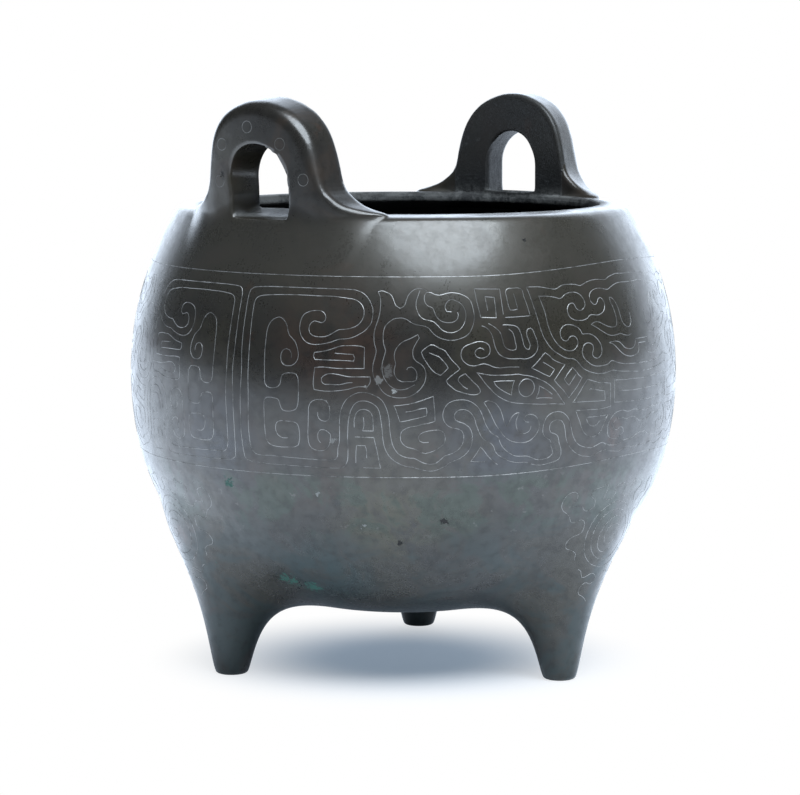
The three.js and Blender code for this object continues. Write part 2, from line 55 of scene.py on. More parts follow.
# Legs and the swellings that run up from them
legForm = {
    "circleRadius": 45.0, "footRadius": 3.45, "topRadius": 10.2, "coneHeight": 74.3,
    "taper": 0.58, "reach": 18.0, "fadeHeight": 33.4, "push": 19.2, "jointHeight": 13.0,
    "degrees": {"leg_front": 270, "leg_back_right": 30, "leg_back_left": 150},
}

# Loop handles: outline as shares of half width and height, from the top down one side
handleForm = {
    "face": 56.0, "thickness": 9.2, "height": 25.0, "halfWidth": 15.0, "innerHalfWidth": 15.9,
    "footHalfWidth": 30.0, "seatHeight": 107.0, "curve": 0.4, "curveEnd": 32,
    "arch": [(0, 1), (0.17, 0.992), (0.32, 0.966), (0.46, 0.93), (0.58, 0.885), (0.73, 0.796),
             (0.84, 0.69), (0.93, 0.54), (0.99, 0.39), (1.03, 0.275)],
    "flare": [(0.06, 0.205), (0.16, 0.152), (0.3, 0.097), (0.5, 0.05), (0.68, 0.012), (0.85, -0.03),
              (1, -0.085)],
    "sillOuter": 109.2, "sillInner": 112.0, "barBottom": 109.5, "barSlant": 0.8,
    "openingHalfWidth": 8.15, "openingInnerHalfWidth": 6.9, "springing": 7.4,
    "edgeRounding": 0.7, "topRounding": 1.5, "topRoundingOver": (114, 124), "openingRounding": 0.3,
    "sillRounding": 0.8, "leanStart": 115.0, "deepest": (-0.3, 1.3), "leanInside": 0.7,
    "faceSlope": 0.97, "barSlope": 0.78, "lineStep": 1.2, "lineSharp": 80,
}

# how a handle's foot runs out into the rim: each "Over" is a range of distance from the middle
footForm = {
    "followOver": (13.0, 30.0), "widthOver": (13, 28), "inset": 1.1, "insetOver": (14, 30),
    "innerInset": 0.5, "tuck": 3.0, "tuckOver": (14, 22),
    "lowest": 98, "halfWidth": 30.8, "nearest": 28, "fillet": 4.2, "filletOver": (9, 30),
    "filletRadii": (51, 57), "topFillet": 2.2, "topHeights": (110.2, 111.4),
    "topOver": (15, 23), "topEnd": (25, 30.5),
}

# the handle at -X was finished less evenly: it leans aside, is wider, and stands higher inside
handleQuirks = {
    1: {"lean": 0.0, "wide": 1.0, "rise": 0.0, "aside": 0.0},
    -1: {"lean": 0.15, "wide": 1.08, "rise": 1.3, "aside": 0.6},
}


def smoothStep(value, low, high):
    share = np.clip((value - low) / (high - low), 0, 1)
    return share * share * (3 - 2 * share)


def smoothUnion(first, second, reach):
    reach = np.maximum(reach, 1e-6)
    share = np.clip(0.5 + 0.5 * (second - first) / reach, 0, 1)
    return second * (1 - share) + first * share - reach * share * (1 - share)


def smoothMeet(first, second, reach):
    return -smoothUnion(-first, -second, reach)


def profileRadius(height):
    form = bodyForm
    rise = (height - form["bellyHeight"]) / (form["rimOuterHeight"] - form["bellyHeight"])
    rise = np.clip(rise, 0, form["pastRim"])
    above = form["bellyRadius"] - (form["bellyRadius"] - form["rimRadius"]) * rise ** form["shoulderPower"]
    drop = np.clip((form["bellyHeight"] - height) / (form["bellyHeight"] - form["underside"]), 0, 1)
    left = np.clip(1 - drop ** form["lowerHeightPower"], 0, 1)
    below = form["bellyRadius"] * left ** (1 / form["lowerRadiusPower"])
    return np.where(height > form["bellyHeight"], above, below)


def radiusAt(height):
    return float(profileRadius(np.array(height)))


def ovalField(radius, height, oval, depth):
    # rounded base below the belly, near enough a distance
    form = bodyForm
    drop = np.clip((form["bellyHeight"] - height) / depth, 0, None)
    share = radius / oval
    level = share ** form["lowerRadiusPower"] + drop ** form["lowerHeightPower"] - 1
    out = form["lowerRadiusPower"] * share ** (form["lowerRadiusPower"] - 1) / oval
    down = form["lowerHeightPower"] * drop ** (form["lowerHeightPower"] - 1) / depth
    return level / np.maximum(np.hypot(out, down), 1 / oval ** 2)


def bodyField(points):
    # below zero inside the body and legs, above zero outside
    x, y, z = points.T
    radius = np.hypot(x, y)
    form = bodyForm
    base = ovalField(radius, z, form["bellyRadius"], form["bellyHeight"] - form["underside"])
    field = np.where(z > form["bellyHeight"], radius - profileRadius(z), base)
    fade = 1 - smoothStep(z, legForm["fadeHeight"], form["bellyHeight"])
    cone = legForm["footRadius"] + (legForm["topRadius"] - legForm["footRadius"]) * (
        np.clip(z / legForm["coneHeight"], 0, 1) ** legForm["taper"])
    for degrees in legForm["degrees"].values():
        turn = math.radians(degrees)
        along = x * math.cos(turn) + y * math.sin(turn) - legForm["circleRadius"]
        across = y * math.cos(turn) - x * math.sin(turn)
        leg = np.hypot(along, across) - cone + (1 - fade) * legForm["push"]
        joined = smoothUnion(field, leg, legForm["reach"] * fade)
        field = np.where(fade > 0, joined, field)
    return field


def cavityField(points):
    # below zero in the hollow
    x, y, z = points.T
    radius = np.hypot(x, y)
    form = bodyForm
    inside = profileRadius(z) - form["wall"]
    atUndercut = profileRadius(np.array(form["undercutBottom"])) - form["wall"]
    lip = np.interp(z, [form["undercutBottom"], form["lipBottom"]], [atUndercut, form["mouthRadius"]])
    limit = np.where(z > form["undercutBottom"], lip, inside)
    depth = form["bellyHeight"] - form["underside"] - form["floorThickness"]
    base = ovalField(radius, z, form["bellyRadius"] - form["wall"], depth)
    return np.where(z > form["bellyHeight"], (radius - limit) * form["cavitySlope"], base)


def bowlField(points):
    x, y, z = points.T
    radius = np.hypot(x, y)
    form = bodyForm
    top = form["rimHeight"] - (form["rimHeight"] - form["rimOuterHeight"]) * (
        (radius - form["mouthRadius"]) / (form["rimRadius"] - form["mouthRadius"]))
    field = smoothMeet(bodyField(points), z - top, form["edgeRounding"] * 2)
    return smoothMeet(field, -cavityField(points), form["edgeRounding"] * 2)


def smoothLine(points, step, closed=False, sharpDegrees=55, stretch=(1, 1)):
    # runs a smooth line through given points, with a corner wherever it turns sharply
    points = [np.array(point, float) for point in points]
    count = len(points)
    scaled = [point * stretch for point in points]
    sharp = []
    for index in range(count):
        if not closed and index in (0, count - 1):
            sharp.append(True)
            continue
        before = scaled[index] - scaled[index - 1]
        after = scaled[(index + 1) % count] - scaled[index]
        turn = np.dot(before, after) / (np.linalg.norm(before) * np.linalg.norm(after) + 1e-12)
        sharp.append(turn < math.cos(math.radians(sharpDegrees)))
    line = []
    for index in range(count if closed else count - 1):
        nextIndex = (index + 1) % count
        start, end = points[index], points[nextIndex]
        length = np.linalg.norm(scaled[nextIndex] - scaled[index])

        def lean(before, here, after, isSharp):
            if isSharp:
                return end - start
            back = np.linalg.norm((here - before) * stretch)
            ahead = np.linalg.norm((after - here) * stretch)
            mixed = (here - before) / back * ahead + (after - here) / ahead * back
            return mixed / (back + ahead) * length
        leave = lean(points[index - 1], start, end, sharp[index])
        arrive = lean(start, end, points[(index + 2) % count], sharp[nextIndex])
        parts = max(1, round(length / step))
        for part in range(parts):
            t = part / parts
            line.append((2 * t ** 3 - 3 * t ** 2 + 1) * start + (t ** 3 - 2 * t ** 2 + t) * leave
                        + (3 * t ** 2 - 2 * t ** 3) * end + (t ** 3 - t ** 2) * arrive)
    line.append(points[0] if closed else points[-1])
    return np.array(line)


def handleOutline():
    form = handleForm
    half = [(across * form["halfWidth"], bodyForm["rimHeight"] + up * form["height"])
            for across, up in form["arch"]]
    last = half[-1][0]
    half += [(last + (form["footHalfWidth"] - last) * across, bodyForm["rimHeight"] + up * form["height"])
             for across, up in form["flare"]]
    mirrored = [(-across, up) for across, up in half[:0:-1]]
    line = smoothLine(mirrored + half, form["lineStep"], sharpDegrees=form["lineSharp"])
    return line[line[:, 0] >= -1e-6]


outline = handleOutline()


def faceReach(across, height, isOuter):
    form = handleForm
    across = np.clip(np.abs(across), 0, form["curveEnd"])
    face = form["face"] if isOuter else form["face"] - form["thickness"]
    sag = face - np.sqrt(face * face - across * across)
    plane = face - form["curve"] * sag
    if not isOuter:
        return plane
    ring = profileRadius(np.minimum(height, bodyForm["rimOuterHeight"]))
    ringReach = np.sqrt(ring * ring - across * across)
    follow = smoothStep(across, *footForm["followOver"])
    return plane * (1 - follow) + ringReach * follow


def openingField(beside, z, deep):
    # below zero in the arched opening
    form = handleForm
    wide, narrow = form["openingHalfWidth"], form["openingInnerHalfWidth"]
    scaled = beside * wide / (wide + deep * (narrow - wide))
    springing = bodyForm["rimHeight"] + form["springing"]
    arch = np.where(z > springing, np.hypot(scaled, z - springing), scaled) - wide
    sill = form["sillOuter"] + np.clip(deep, 0, 1) * (form["sillInner"] - form["sillOuter"])
    return smoothMeet(arch, sill - z, form["sillRounding"])


def handleField(points, side):
    # one loop handle, on the +X or -X side
    reach, across, z = points[:, 0] * side, points[:, 1] * side, points[:, 2]
    form, foot, quirks = handleForm, footForm, handleQuirks[side]
    deep = np.clip((form["face"] - reach) / form["thickness"], *form["deepest"])
    lean = quirks["lean"] * np.clip(z - form["leanStart"], 0, None)
    across = across + lean * (1 - form["leanInside"] * deep)
    beside = np.abs(across + quirks["aside"])
    across = np.abs(across)
    atFoot = smoothStep(across, *foot["widthOver"])
    inwards = quirks["wide"] + deep * (form["innerHalfWidth"] / form["halfWidth"] - quirks["wide"])
    drawn = across * (1 + (1 / inwards - 1) * (1 - atFoot))
    drawn += foot["tuck"] * smoothStep(across, *foot["tuckOver"]) * np.clip(1 - deep, 0, 1)
    up = z - bodyForm["rimHeight"]
    level = z - up * np.clip(deep, 0, 1) * quirks["rise"] / (form["height"] + quirks["rise"]) * (up > 0)
    nearest = np.full(len(points), 1e9)
    for start, end in zip(outline[:-1], outline[1:]):
        edge = end - start
        share = np.clip(((drawn - start[0]) * edge[0] + (level - start[1]) * edge[1]) / (edge @ edge), 0, 1)
        nearest = np.minimum(nearest, np.hypot(drawn - start[0] - share * edge[0],
                                               level - start[1] - share * edge[1]))
    above = level > np.interp(drawn, outline[:, 0], outline[:, 1])
    field = np.where(above, nearest, -nearest)
    # the foot's faces are drawn in, so that they sink into the rim
    inset = foot["inset"] * smoothStep(across, *foot["insetOver"])
    outer = (reach - faceReach(across, z, True) + inset) * form["faceSlope"]
    inner = (faceReach(across, z, False) - reach + inset * foot["innerInset"]) * form["faceSlope"]
    rounding = form["edgeRounding"] * 2
    softer = rounding + (form["topRounding"] - form["edgeRounding"]) * 2 * smoothStep(
        z, *form["topRoundingOver"])
    field = smoothMeet(smoothMeet(field, outer, softer), inner, rounding)
    # the underside slants down inside the wall, just over the lip's undercut
    bottom = form["barBottom"] - (np.hypot(reach, across) - bodyForm["mouthRadius"]) * form["barSlant"]
    field = smoothMeet(field, (bottom - z) * form["barSlope"], rounding)
    return smoothMeet(field, -openingField(beside, z, deep), form["openingRounding"] * 2)


def castField(points):
    # bowl with both handles run into it
    foot = footForm
    field = bowlField(points)
    for side in (1, -1):
        near = (points[:, 2] > foot["lowest"]) & (np.abs(points[:, 1]) < foot["halfWidth"])
        near &= points[:, 0] * side > foot["nearest"]
        if near.any():
            some = points[near]
            across = np.abs(some[:, 1])
            outside = smoothStep(np.hypot(some[:, 0], some[:, 1]), *foot["filletRadii"])
            fillet = foot["fillet"] * (1 - smoothStep(across, *foot["filletOver"])) * outside
            onTop = foot["topFillet"] * smoothStep(some[:, 2], *foot["topHeights"])
            onTop *= smoothStep(across, *foot["topOver"]) * (1 - smoothStep(across, *foot["topEnd"]))
            fillet = np.maximum(fillet, onTop)
            field[near] = smoothUnion(field[near], handleField(some, side), fillet)
    return field


def slopeOf(field, points, step=0.05):
    slope = np.empty_like(points)
    for axis in range(3):
        nudge = np.zeros(3)
        nudge[axis] = step
        slope[:, axis] = (field(points + nudge) - field(points - nudge)) / (2 * step)
    return slope


def settle(points, field, passes, most, stride=2.5):
    # moves points on to the surface of the field, by no more than most
    start = points.copy()
    for _ in range(passes):
        slope = slopeOf(field, points)
        length = np.maximum((slope ** 2).sum(axis=1), 0.05)
        step = slope * (field(points) / length)[:, None]
        size = np.linalg.norm(step, axis=1, keepdims=True)
        points = points - step * np.minimum(1, stride / np.maximum(size, 1e-9))
        move = points - start
        size = np.linalg.norm(move, axis=1, keepdims=True)
        points = start + move * np.minimum(1, most / np.maximum(size, 1e-9))
    return points


def surfaceReach(field, place, count, near, far, passes):
    # how far out each of the places lies on the field's surface, by halving
    near, far = np.full(count, near), np.full(count, far)
    for _ in range(passes):
        middle = (near + far) / 2
        inside = field(place(middle)) < 0
        near, far = np.where(inside, middle, near), np.where(inside, far, middle)
    return near


def ringTurns(count):
    return np.linspace(0, 2 * math.pi, count, endpoint=False)


def meshPoints(mesh):
    flat = np.empty(len(mesh.vertices) * 3, np.float32)
    mesh.vertices.foreach_get("co", flat)
    return flat.reshape(-1, 3).astype(float)


def setMeshPoints(mesh, points):
    mesh.vertices.foreach_set("co", points.astype(np.float32).ravel())
    mesh.update()


def objectFrom(name, bm):
    mesh = bpy.data.meshes.new(name)
    bm.to_mesh(mesh)
    bm.free()
    piece = bpy.data.objects.new(name, mesh)
    scene.collection.objects.link(piece)
    return piece


def newFrom(piece):
    # bmesh of a helper object, which is then removed
    bm = bmesh.new()
    bm.from_mesh(piece.data)
    bpy.data.objects.remove(piece)
    return bm


def applyModifiers(piece):
    graph = bpy.context.evaluated_depsgraph_get()
    made = bpy.data.meshes.new_from_object(piece.evaluated_get(graph))
    piece.modifiers.clear()
    old = piece.data
    piece.data = made
    made.name = piece.name
    bpy.data.meshes.remove(old)


def remesh(piece, size):
    modifier = piece.modifiers.new("even", "REMESH")
    modifier.mode = "VOXEL"
    modifier.voxel_size = size
    applyModifiers(piece)


def cutWith(piece, tool, operation):
    # joins or cuts a piece with a helper object, which is then removed
    modifier = piece.modifiers.new("cut", "BOOLEAN")
    modifier.operation = operation
    modifier.solver = "EXACT"
    modifier.object = tool
    applyModifiers(piece)
    bpy.data.objects.remove(tool)


def cutPlane(bm, place, normal, fill=True):
    # cuts off what lies beyond a plane
    geometry = bm.verts[:] + bm.edges[:] + bm.faces[:]
    cut = bmesh.ops.bisect_plane(bm, geom=geometry, dist=1e-5, plane_co=place, plane_no=normal,
                                 clear_outer=True)
    if fill:
        edges = [item for item in cut["geom_cut"] if isinstance(item, bmesh.types.BMEdge)]
        bmesh.ops.holes_fill(bm, edges=edges, sides=0)


def pushedOut(name, corners, push):
    # closed flat outline pushed through into a block
    bm = bmesh.new()
    face = bm.faces.new([bm.verts.new(corner) for corner in corners])
    pushed = bmesh.ops.extrude_face_region(bm, geom=[face])["geom"]
    moved = [item for item in pushed if isinstance(item, bmesh.types.BMVert)]
    bmesh.ops.translate(bm, verts=moved, vec=push)
    bmesh.ops.recalc_face_normals(bm, faces=bm.faces)
    return objectFrom(name, bm)


def finishPiece(piece, body, material, slot, *nodes):
    piece.data.transform(toMetres)
    piece.data.materials.clear()
    piece.data.materials.append(material)
    for polygon in piece.data.polygons:
        polygon.use_smooth = True
    piece.data.set_sharp_from_angle(angle=math.radians(50))
    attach(piece, body)
    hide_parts(*nodes)
    print(piece.name, len(piece.data.polygons), "faces")


# Bowl
bowlMesh = {
    "columns": 320, "rowStep": 1.1, "splitHeight": 60.0, "splitGap": 0.7, "insideStep": 2.2,
    "evening": [(1.6, 9), (0.9, 1.5)], "blankTop": 67.0, "blankColumns": 96, "blankRows": 40,
    "legSides": 40, "legHeight": 40, "legMiddle": 19, "freeTop": 8, "freeBottom": 3,
    "corner": 0.7, "cornerArc": 0.9, "rimStop": 1.3, "rimStep": 1.0,
    "lipOffset": (0.6, 0.5), "lipTurns": (180, 225, 4), "insideStart": 0.3,
    "baseStart": 0.02, "baseSteps": 40,
    "pocketInner": 33.0, "pocketTall": 60.0, "pocketClear": 6, "settlePasses": 5, "settleMost": 3.0,
    "blankPasses": 6, "footClear": 0.02,
}


def cornerArc(radius, height, size, fromDegrees, toDegrees, steps=8):
    turns = np.radians(np.linspace(fromDegrees, toDegrees, steps))
    return [(radius + size * math.cos(turn), height + size * math.sin(turn)) for turn in turns]


def evenRun(start, end, step):
    count = max(2, round(math.dist(start, end) / step))
    return [tuple(np.array(start) + (np.array(end) - start) * part / count) for part in range(1, count)]


def upperProfile():
    # from the split up the outside, over the rim, and down the inside to the middle of the floor
    form, mesh = bodyForm, bowlMesh
    corner, arc = mesh["corner"], mesh["cornerArc"]
    heights = np.arange(mesh["splitHeight"] + mesh["splitGap"], form["rimOuterHeight"] - mesh["rimStop"],
                        mesh["rowStep"])
    line = [(radiusAt(height), height) for height in heights]
    line += cornerArc(form["rimRadius"] - corner, form["rimOuterHeight"] - corner, arc, -5, 90)
    inner = (form["mouthRadius"] + corner, form["rimHeight"] - corner)
    line += evenRun(line[-1], (inner[0], form["rimHeight"]), mesh["rimStep"])
    line += cornerArc(*inner, arc, 90, 180)
    lipOut, lipUp = mesh["lipOffset"]
    line += cornerArc(form["mouthRadius"] + lipOut, form["lipBottom"] + lipUp, corner, *mesh["lipTurns"])
    line += evenRun(line[-1], (radiusAt(form["undercutBottom"]) - form["wall"], form["undercutBottom"]),
                    mesh["rimStep"])
    for height in np.arange(form["undercutBottom"] - mesh["insideStart"], form["bellyHeight"],
                            -mesh["insideStep"]):
        line.append((radiusAt(height) - form["wall"], height))
    wide = form["bellyRadius"] - form["wall"]
    deep = form["bellyHeight"] - form["underside"] - form["floorThickness"]
    for turn in np.linspace(mesh["baseStart"], math.pi / 2, mesh["baseSteps"]):
        line.append((wide * max(0, math.cos(turn)) ** (2 / form["lowerRadiusPower"]),
                     form["bellyHeight"] - deep * math.sin(turn) ** (2 / form["lowerHeightPower"])))
    line[-1] = (0, line[-1][1])
    return line


def spunFrom(line, columns):
    bm = bmesh.new()
    verts = [bm.verts.new((radius, 0, height)) for radius, height in line]
    edges = [bm.edges.new(pair) for pair in zip(verts, verts[1:])]
    bmesh.ops.spin(bm, geom=verts + edges, cent=(0, 0, 0), axis=(0, 0, 1), dvec=(0, 0, 0),
                   angle=2 * math.pi, steps=columns, use_merge=True)
    bmesh.ops.remove_doubles(bm, verts=bm.verts, dist=1e-4)
    return bm


def lowerSkin():
    # closed blank of belly and legs, evened out and settled on the cast form
    form, mesh = bodyForm, bowlMesh
    heights = np.linspace(form["underside"] + 0.01, mesh["blankTop"], mesh["blankRows"])
    line = [(0, form["underside"])]
    line += [(radiusAt(height), height) for height in heights]
    bm = spunFrom(line + [(0, mesh["blankTop"])], mesh["blankColumns"])
    for degrees in legForm["degrees"].values():
        turn = math.radians(degrees)
        place = Matrix.Translation((legForm["circleRadius"] * math.cos(turn),
                                    legForm["circleRadius"] * math.sin(turn), mesh["legMiddle"]))
        bmesh.ops.create_cone(bm, cap_ends=True, segments=mesh["legSides"], radius1=legForm["footRadius"],
                              radius2=legForm["topRadius"] - 1, depth=mesh["legHeight"], matrix=place)
    bmesh.ops.recalc_face_normals(bm, faces=bm.faces)
    blank = objectFrom("lower_blank", bm)
    for size, most in mesh["evening"]:
        remesh(blank, size)
        points = meshPoints(blank.data)
        free = (points[:, 2] < form["bellyHeight"] - mesh["freeTop"]) & (points[:, 2] > mesh["freeBottom"])
        points[free] = settle(points[free], bodyField, mesh["blankPasses"], most)
        setMeshPoints(blank.data, points)
    bm = newFrom(blank)
    cutPlane(bm, (0, 0, mesh["splitHeight"]), (0, 0, 1), fill=False)
    cutPlane(bm, (0, 0, legForm["jointHeight"]), (0, 0, -1))
    return bm


def makeBowl():
    bm = lowerSkin()
    upper = spunFrom(upperProfile(), bowlMesh["columns"])
    mesh = bpy.data.meshes.new("upper")
    upper.to_mesh(mesh)
    upper.free()
    bm.from_mesh(mesh)
    bpy.data.meshes.remove(mesh)
    seam = [edge for edge in bm.edges if edge.is_boundary]
    bmesh.ops.bridge_loops(bm, edges=seam)
    bmesh.ops.recalc_face_normals(bm, faces=bm.faces)
    made = objectFrom("cast_bowl", bm)
    points = meshPoints(made.data)
    free = points[:, 2] > legForm["jointHeight"] + bowlMesh["footClear"]
    points[free] = settle(points[free], castField, bowlMesh["settlePasses"], bowlMesh["settleMost"])
    setMeshPoints(made.data, points)
    return made


def handlePocket(side):
    # block of space that a handle and the bar across its foot fill
    form = handleForm
    inner, outer = bowlMesh["pocketInner"], form["face"] + bowlMesh["pocketClear"]
    tall = bowlMesh["pocketTall"]
    bm = bmesh.new()
    bmesh.ops.create_cube(bm, size=1)
    bmesh.ops.scale(bm, verts=bm.verts, vec=(outer - inner, 2 * form["footHalfWidth"], tall))
    bmesh.ops.translate(bm, verts=bm.verts, vec=(side * (inner + outer) / 2, 0,
                                                 form["seatHeight"] + tall / 2))
    return objectFrom("pocket", bm)


bowl = makeBowl()
for side in (1, -1):
    cutWith(bowl, handlePocket(side), "DIFFERENCE")
print("bowl shaped:", len(bowl.data.polygons), "faces")


# Legs
legMesh = {
    "sides": 72, "rowStep": 0.9, "firstRow": 1.1, "lastGap": 0.4, "soleInset": 0.8, "solePull": 0.8,
    "startRadius": 4, "search": (0.5, 12.0, 24),
    "footShares": [(0, 1), (0.08, 0.6), (0.25, 0.28), (0.5, 0.08), (0.8, 0.01)], "footRounding": 0.8,
}


def makeLeg(name, degrees):
    mesh, top = legMesh, legForm["jointHeight"]
    turn = math.radians(degrees)
    centre = np.array([math.cos(turn), math.sin(turn)]) * legForm["circleRadius"]
    rows = [(up * mesh["footRounding"], inset * mesh["footRounding"]) for up, inset in mesh["footShares"]]
    rows += [(height, 0) for height in np.arange(mesh["firstRow"], top - mesh["lastGap"], mesh["rowStep"])]
    rows += [(top, 0)]
    bm = bmesh.new()
    ring = bmesh.ops.create_circle(bm, cap_ends=True, segments=mesh["sides"],
                                   radius=mesh["startRadius"])["verts"]
    bmesh.ops.inset_region(bm, faces=bm.faces[:], thickness=mesh["soleInset"], use_even_offset=True)
    edges = [edge for edge in bm.edges if edge.is_boundary]
    rings = [sorted(set(ring), key=lambda vert: vert.index)]
    for _ in rows[1:]:
        made = bmesh.ops.extrude_edge_only(bm, edges=edges)["geom"]
        edges = [item for item in made if isinstance(item, bmesh.types.BMEdge) and item.is_boundary]
        rings.append([item for item in made if isinstance(item, bmesh.types.BMVert)])
    bmesh.ops.holes_fill(bm, edges=edges, sides=0)
    for (height, inset), verts in zip(rows, rings):
        angles = np.array([math.atan2(vert.co.y, vert.co.x) for vert in verts])
        outward = np.stack([np.cos(angles), np.sin(angles), np.zeros(len(verts))], 1)
        origin = np.array([centre[0], centre[1], height])
        reach = surfaceReach(bodyField, lambda out: origin + outward * out[:, None],
                             len(verts), *mesh["search"])
        for vert, place in zip(verts, origin + outward * (reach - inset)[:, None]):
            vert.co = place
    for vert in set(bm.verts) - set(sum(rings, [])):
        vert.co.x = vert.co.x * mesh["solePull"] + centre[0]
        vert.co.y = vert.co.y * mesh["solePull"] + centre[1]
    bmesh.ops.recalc_face_normals(bm, faces=bm.faces)
    return objectFrom("cast_" + name, bm)


legs = {name: makeLeg(name, degrees) for name, degrees in legForm["degrees"].items()}
print("legs shaped")


# Handles
handleMesh = {
    "size": 0.42, "quickSize": 0.8, "low": 101.0, "high": 150, "halfWidth": 31.5, "blankInner": 30,
    "holeInner": 20, "blankClear": 4, "holeClear": 12, "holeShare": 0.96, "archSteps": 20, "overlap": 0.4,
    "bendSteps": 41, "bendHeights": (110.0, 112.0), "clear": 0.5, "settlePasses": 6, "settleMost": 4.0,
    "hair": 0.01,
}


def handleBlank():
    # outline pushed through, with its opening
    form, mesh = handleForm, handleMesh
    half = [tuple(point) for point in outline[::2]]
    wide, low = mesh["halfWidth"], mesh["low"]
    shape = [(-across, up) for across, up in half[:0:-1]] + half
    shape = [(-wide, low), (-wide, shape[0][1])] + shape + [(wide, shape[-1][1]), (wide, low)]
    hole = [(form["openingHalfWidth"] * math.cos(turn) * mesh["holeShare"],
             bodyForm["rimHeight"] + form["springing"] + form["openingHalfWidth"] * math.sin(turn))
            for turn in np.linspace(0, math.pi, mesh["archSteps"])]
    hole += [(way * form["openingHalfWidth"] * mesh["holeShare"], bodyForm["rimHeight"]) for way in (-1, 1)]
    blank, tool = [
        pushedOut(name, [(near, across, up) for across, up in corners], (form["face"] + far - near, 0, 0))
        for name, corners, near, far in (("handle_blank", shape, mesh["blankInner"], mesh["blankClear"]),
                                         ("hole", hole, mesh["holeInner"], mesh["holeClear"]))]
    cutWith(blank, tool, "DIFFERENCE")
    return blank


def makeHandle(name, side):
    form, mesh = handleForm, handleMesh
    blank = handleBlank()
    # trimmed to the slab above the rim, and to the rim itself below
    across = np.linspace(-mesh["halfWidth"] - 1, mesh["halfWidth"] + 1, mesh["bendSteps"])
    mouth = np.sqrt(bodyForm["mouthRadius"] ** 2 - across ** 2)
    outerHeight, innerHeight = np.array(mesh["bendHeights"])
    face = list(zip(faceReach(across, outerHeight, True), across))
    joint = bodyForm["rimHeight"] - mesh["overlap"]
    slab, rimPart = [
        pushedOut(label, [(reach, place, start) for reach, place in [*face, *zip(back[::-1], across[::-1])]],
                  (0, 0, end - start))
        for label, back, start, end in (
            ("slab", faceReach(across, innerHeight, False), joint, mesh["high"]),
            ("rim_part", mouth, mesh["low"] - 1, joint))]
    cutWith(slab, rimPart, "UNION")
    cutWith(blank, slab, "INTERSECT")
    remesh(blank, mesh["size"])
    points = meshPoints(blank.data) * (side, side, 1)
    free = points[:, 2] > mesh["low"] + mesh["clear"]
    points[free] = settle(points[free], castField, mesh["settlePasses"], mesh["settleMost"])
    setMeshPoints(blank.data, points)
    bm = newFrom(blank)
    cutPlane(bm, (0, 0, form["seatHeight"] + mesh["hair"]), (0, 0, -1))
    for way in (1, -1):
        cutPlane(bm, (0, way * (form["footHalfWidth"] - mesh["hair"]), 0), (0, way, 0))
    bmesh.ops.recalc_face_normals(bm, faces=bm.faces)
    return objectFrom(name, bm)


handles = {"handle_" + place: makeHandle("cast_handle_" + place, side)
           for place, side in (("right", 1), ("left", -1))}
print("handles shaped:", len(handles["handle_left"].data.polygons), "faces each")
